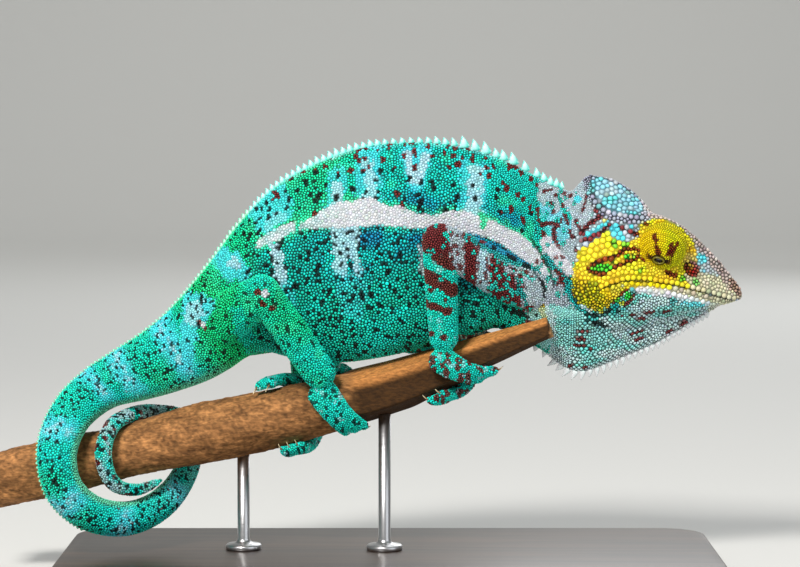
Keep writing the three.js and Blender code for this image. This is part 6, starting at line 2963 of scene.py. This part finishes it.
@dataclass
class Studio:
    """Pale sweep, soft lights and the camera."""

    distance: float = 1000
    look_at: tuple[float, float, float] = (3.6, 0, 104.3)
    elevation: float = 3.5
    lens: float = 125
    floor_from: float = -4000
    floor_to: float = 6000
    floor_side: float = 6000
    curve_from: float = 2600
    curve_radius: float = 700
    lamps: tuple[Lamp, ...] = (
        Lamp("key", (-380, -820, 900), 0.28, 17, (1, 0.97, 0.93)),
        Lamp("fill", (900, -700, 420), 0.9, 2.6, (0.92, 0.96, 1)),
        Lamp("top", (100, 250, 1100), 0.8, 4.5, (1, 1, 1)),
        Lamp("rear", (500, 1500, 900), 0.9, 6, (0.96, 0.98, 1)),
        Lamp("backdrop", (0, 2000, 2100), 2.4, 26, (1, 1, 0.98), (0, 3300, 900)),
    )

    def build(self) -> None:
        """Sets the stage."""
        self.sweep()
        for lamp in self.lamps:
            lamp.build()
        world = bpy.data.worlds.new("soft room")
        world.use_nodes = True
        world.node_tree.nodes["Background"].inputs["Color"].default_value = (0.86, 0.88, 0.9, 1)
        world.node_tree.nodes["Background"].inputs["Strength"].default_value = 0.26
        bpy.context.scene.world = world
        bpy.context.scene.view_settings.view_transform = "Standard"
        self.camera()

    def sweep(self) -> None:
        """Makes the floor that curves up behind."""
        bm = bmesh.new()
        bmesh.ops.create_grid(bm, x_segments=2, y_segments=80, size=1)
        for vert in bm.verts:
            past = mix(self.floor_from, self.floor_to, (vert.co.y + 1) / 2) - self.curve_from
            turn = min(max(past / self.curve_radius, 0), math.pi / 2)
            y = self.curve_from + min(past, 0) + self.curve_radius * math.sin(turn)
            z = self.curve_radius * (1 - math.cos(turn)) + max(past - self.curve_radius * math.pi / 2, 0)
            vert.co = Vector((vert.co.x * self.floor_side, y, z)) * MM
        floor = finish_mesh(bm, "floor")
        plain = Recipe("pale floor")
        plain.fill(plain.shader, {"Base Color": (0.62, 0.62, 0.6, 1), "Roughness": 0.9})
        floor.data.materials.append(plain.made)

    def camera(self) -> None:
        """Adds the camera."""
        data = bpy.data.cameras.new("camera")
        data.lens, data.sensor_width = self.lens, 36
        data.clip_start, data.clip_end = 0.05, 20
        camera = linked("camera", data)
        tilt = math.radians(self.elevation)
        back = Vector((0, -math.cos(tilt), math.sin(tilt)))
        camera.location = (Vector(self.look_at) + back * self.distance) * MM
        camera.rotation_euler = (-back).to_track_quat("-Z", "Y").to_euler()
        bpy.context.scene.camera = camera


# ---------------------------------------------------------------- the whole model
def build_animal() -> None:
    """Makes the skin, its scales, eyes, spines and claws."""
    skin = Skin()
    skin.lay_out()
    hide = skin.build()
    markings = Markings()
    at = skin.unwrap(skin.points)
    # The skin between the scales is painted darker, as painted shade between them.
    paint(hide.data, markings.gaps_with_painted_shade(markings.colours(at), at))
    finish = PaintedFinish("skin between the scales", roughness=0.7, specular=0.1).material()
    flesh = [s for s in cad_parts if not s.startswith(("claw", "eyeball", "perch", "stand"))]
    settle(hide, finish, "skin", *flesh)
    coat = ScaleCoat(skin, markings)
    coat.lay_out()
    coat.build()
    TurretScales(skin, markings).build()
    Eyes().build()
    CrestSpines().build()
    Claws().build()


def main() -> None:
    """Builds everything in order."""
    logging.basicConfig(level=logging.INFO, format="%(message)s")
    Studio().build()
    Perch().build()
    DisplayStand().build()
    build_animal()


if __name__ == "__main__":
    main()
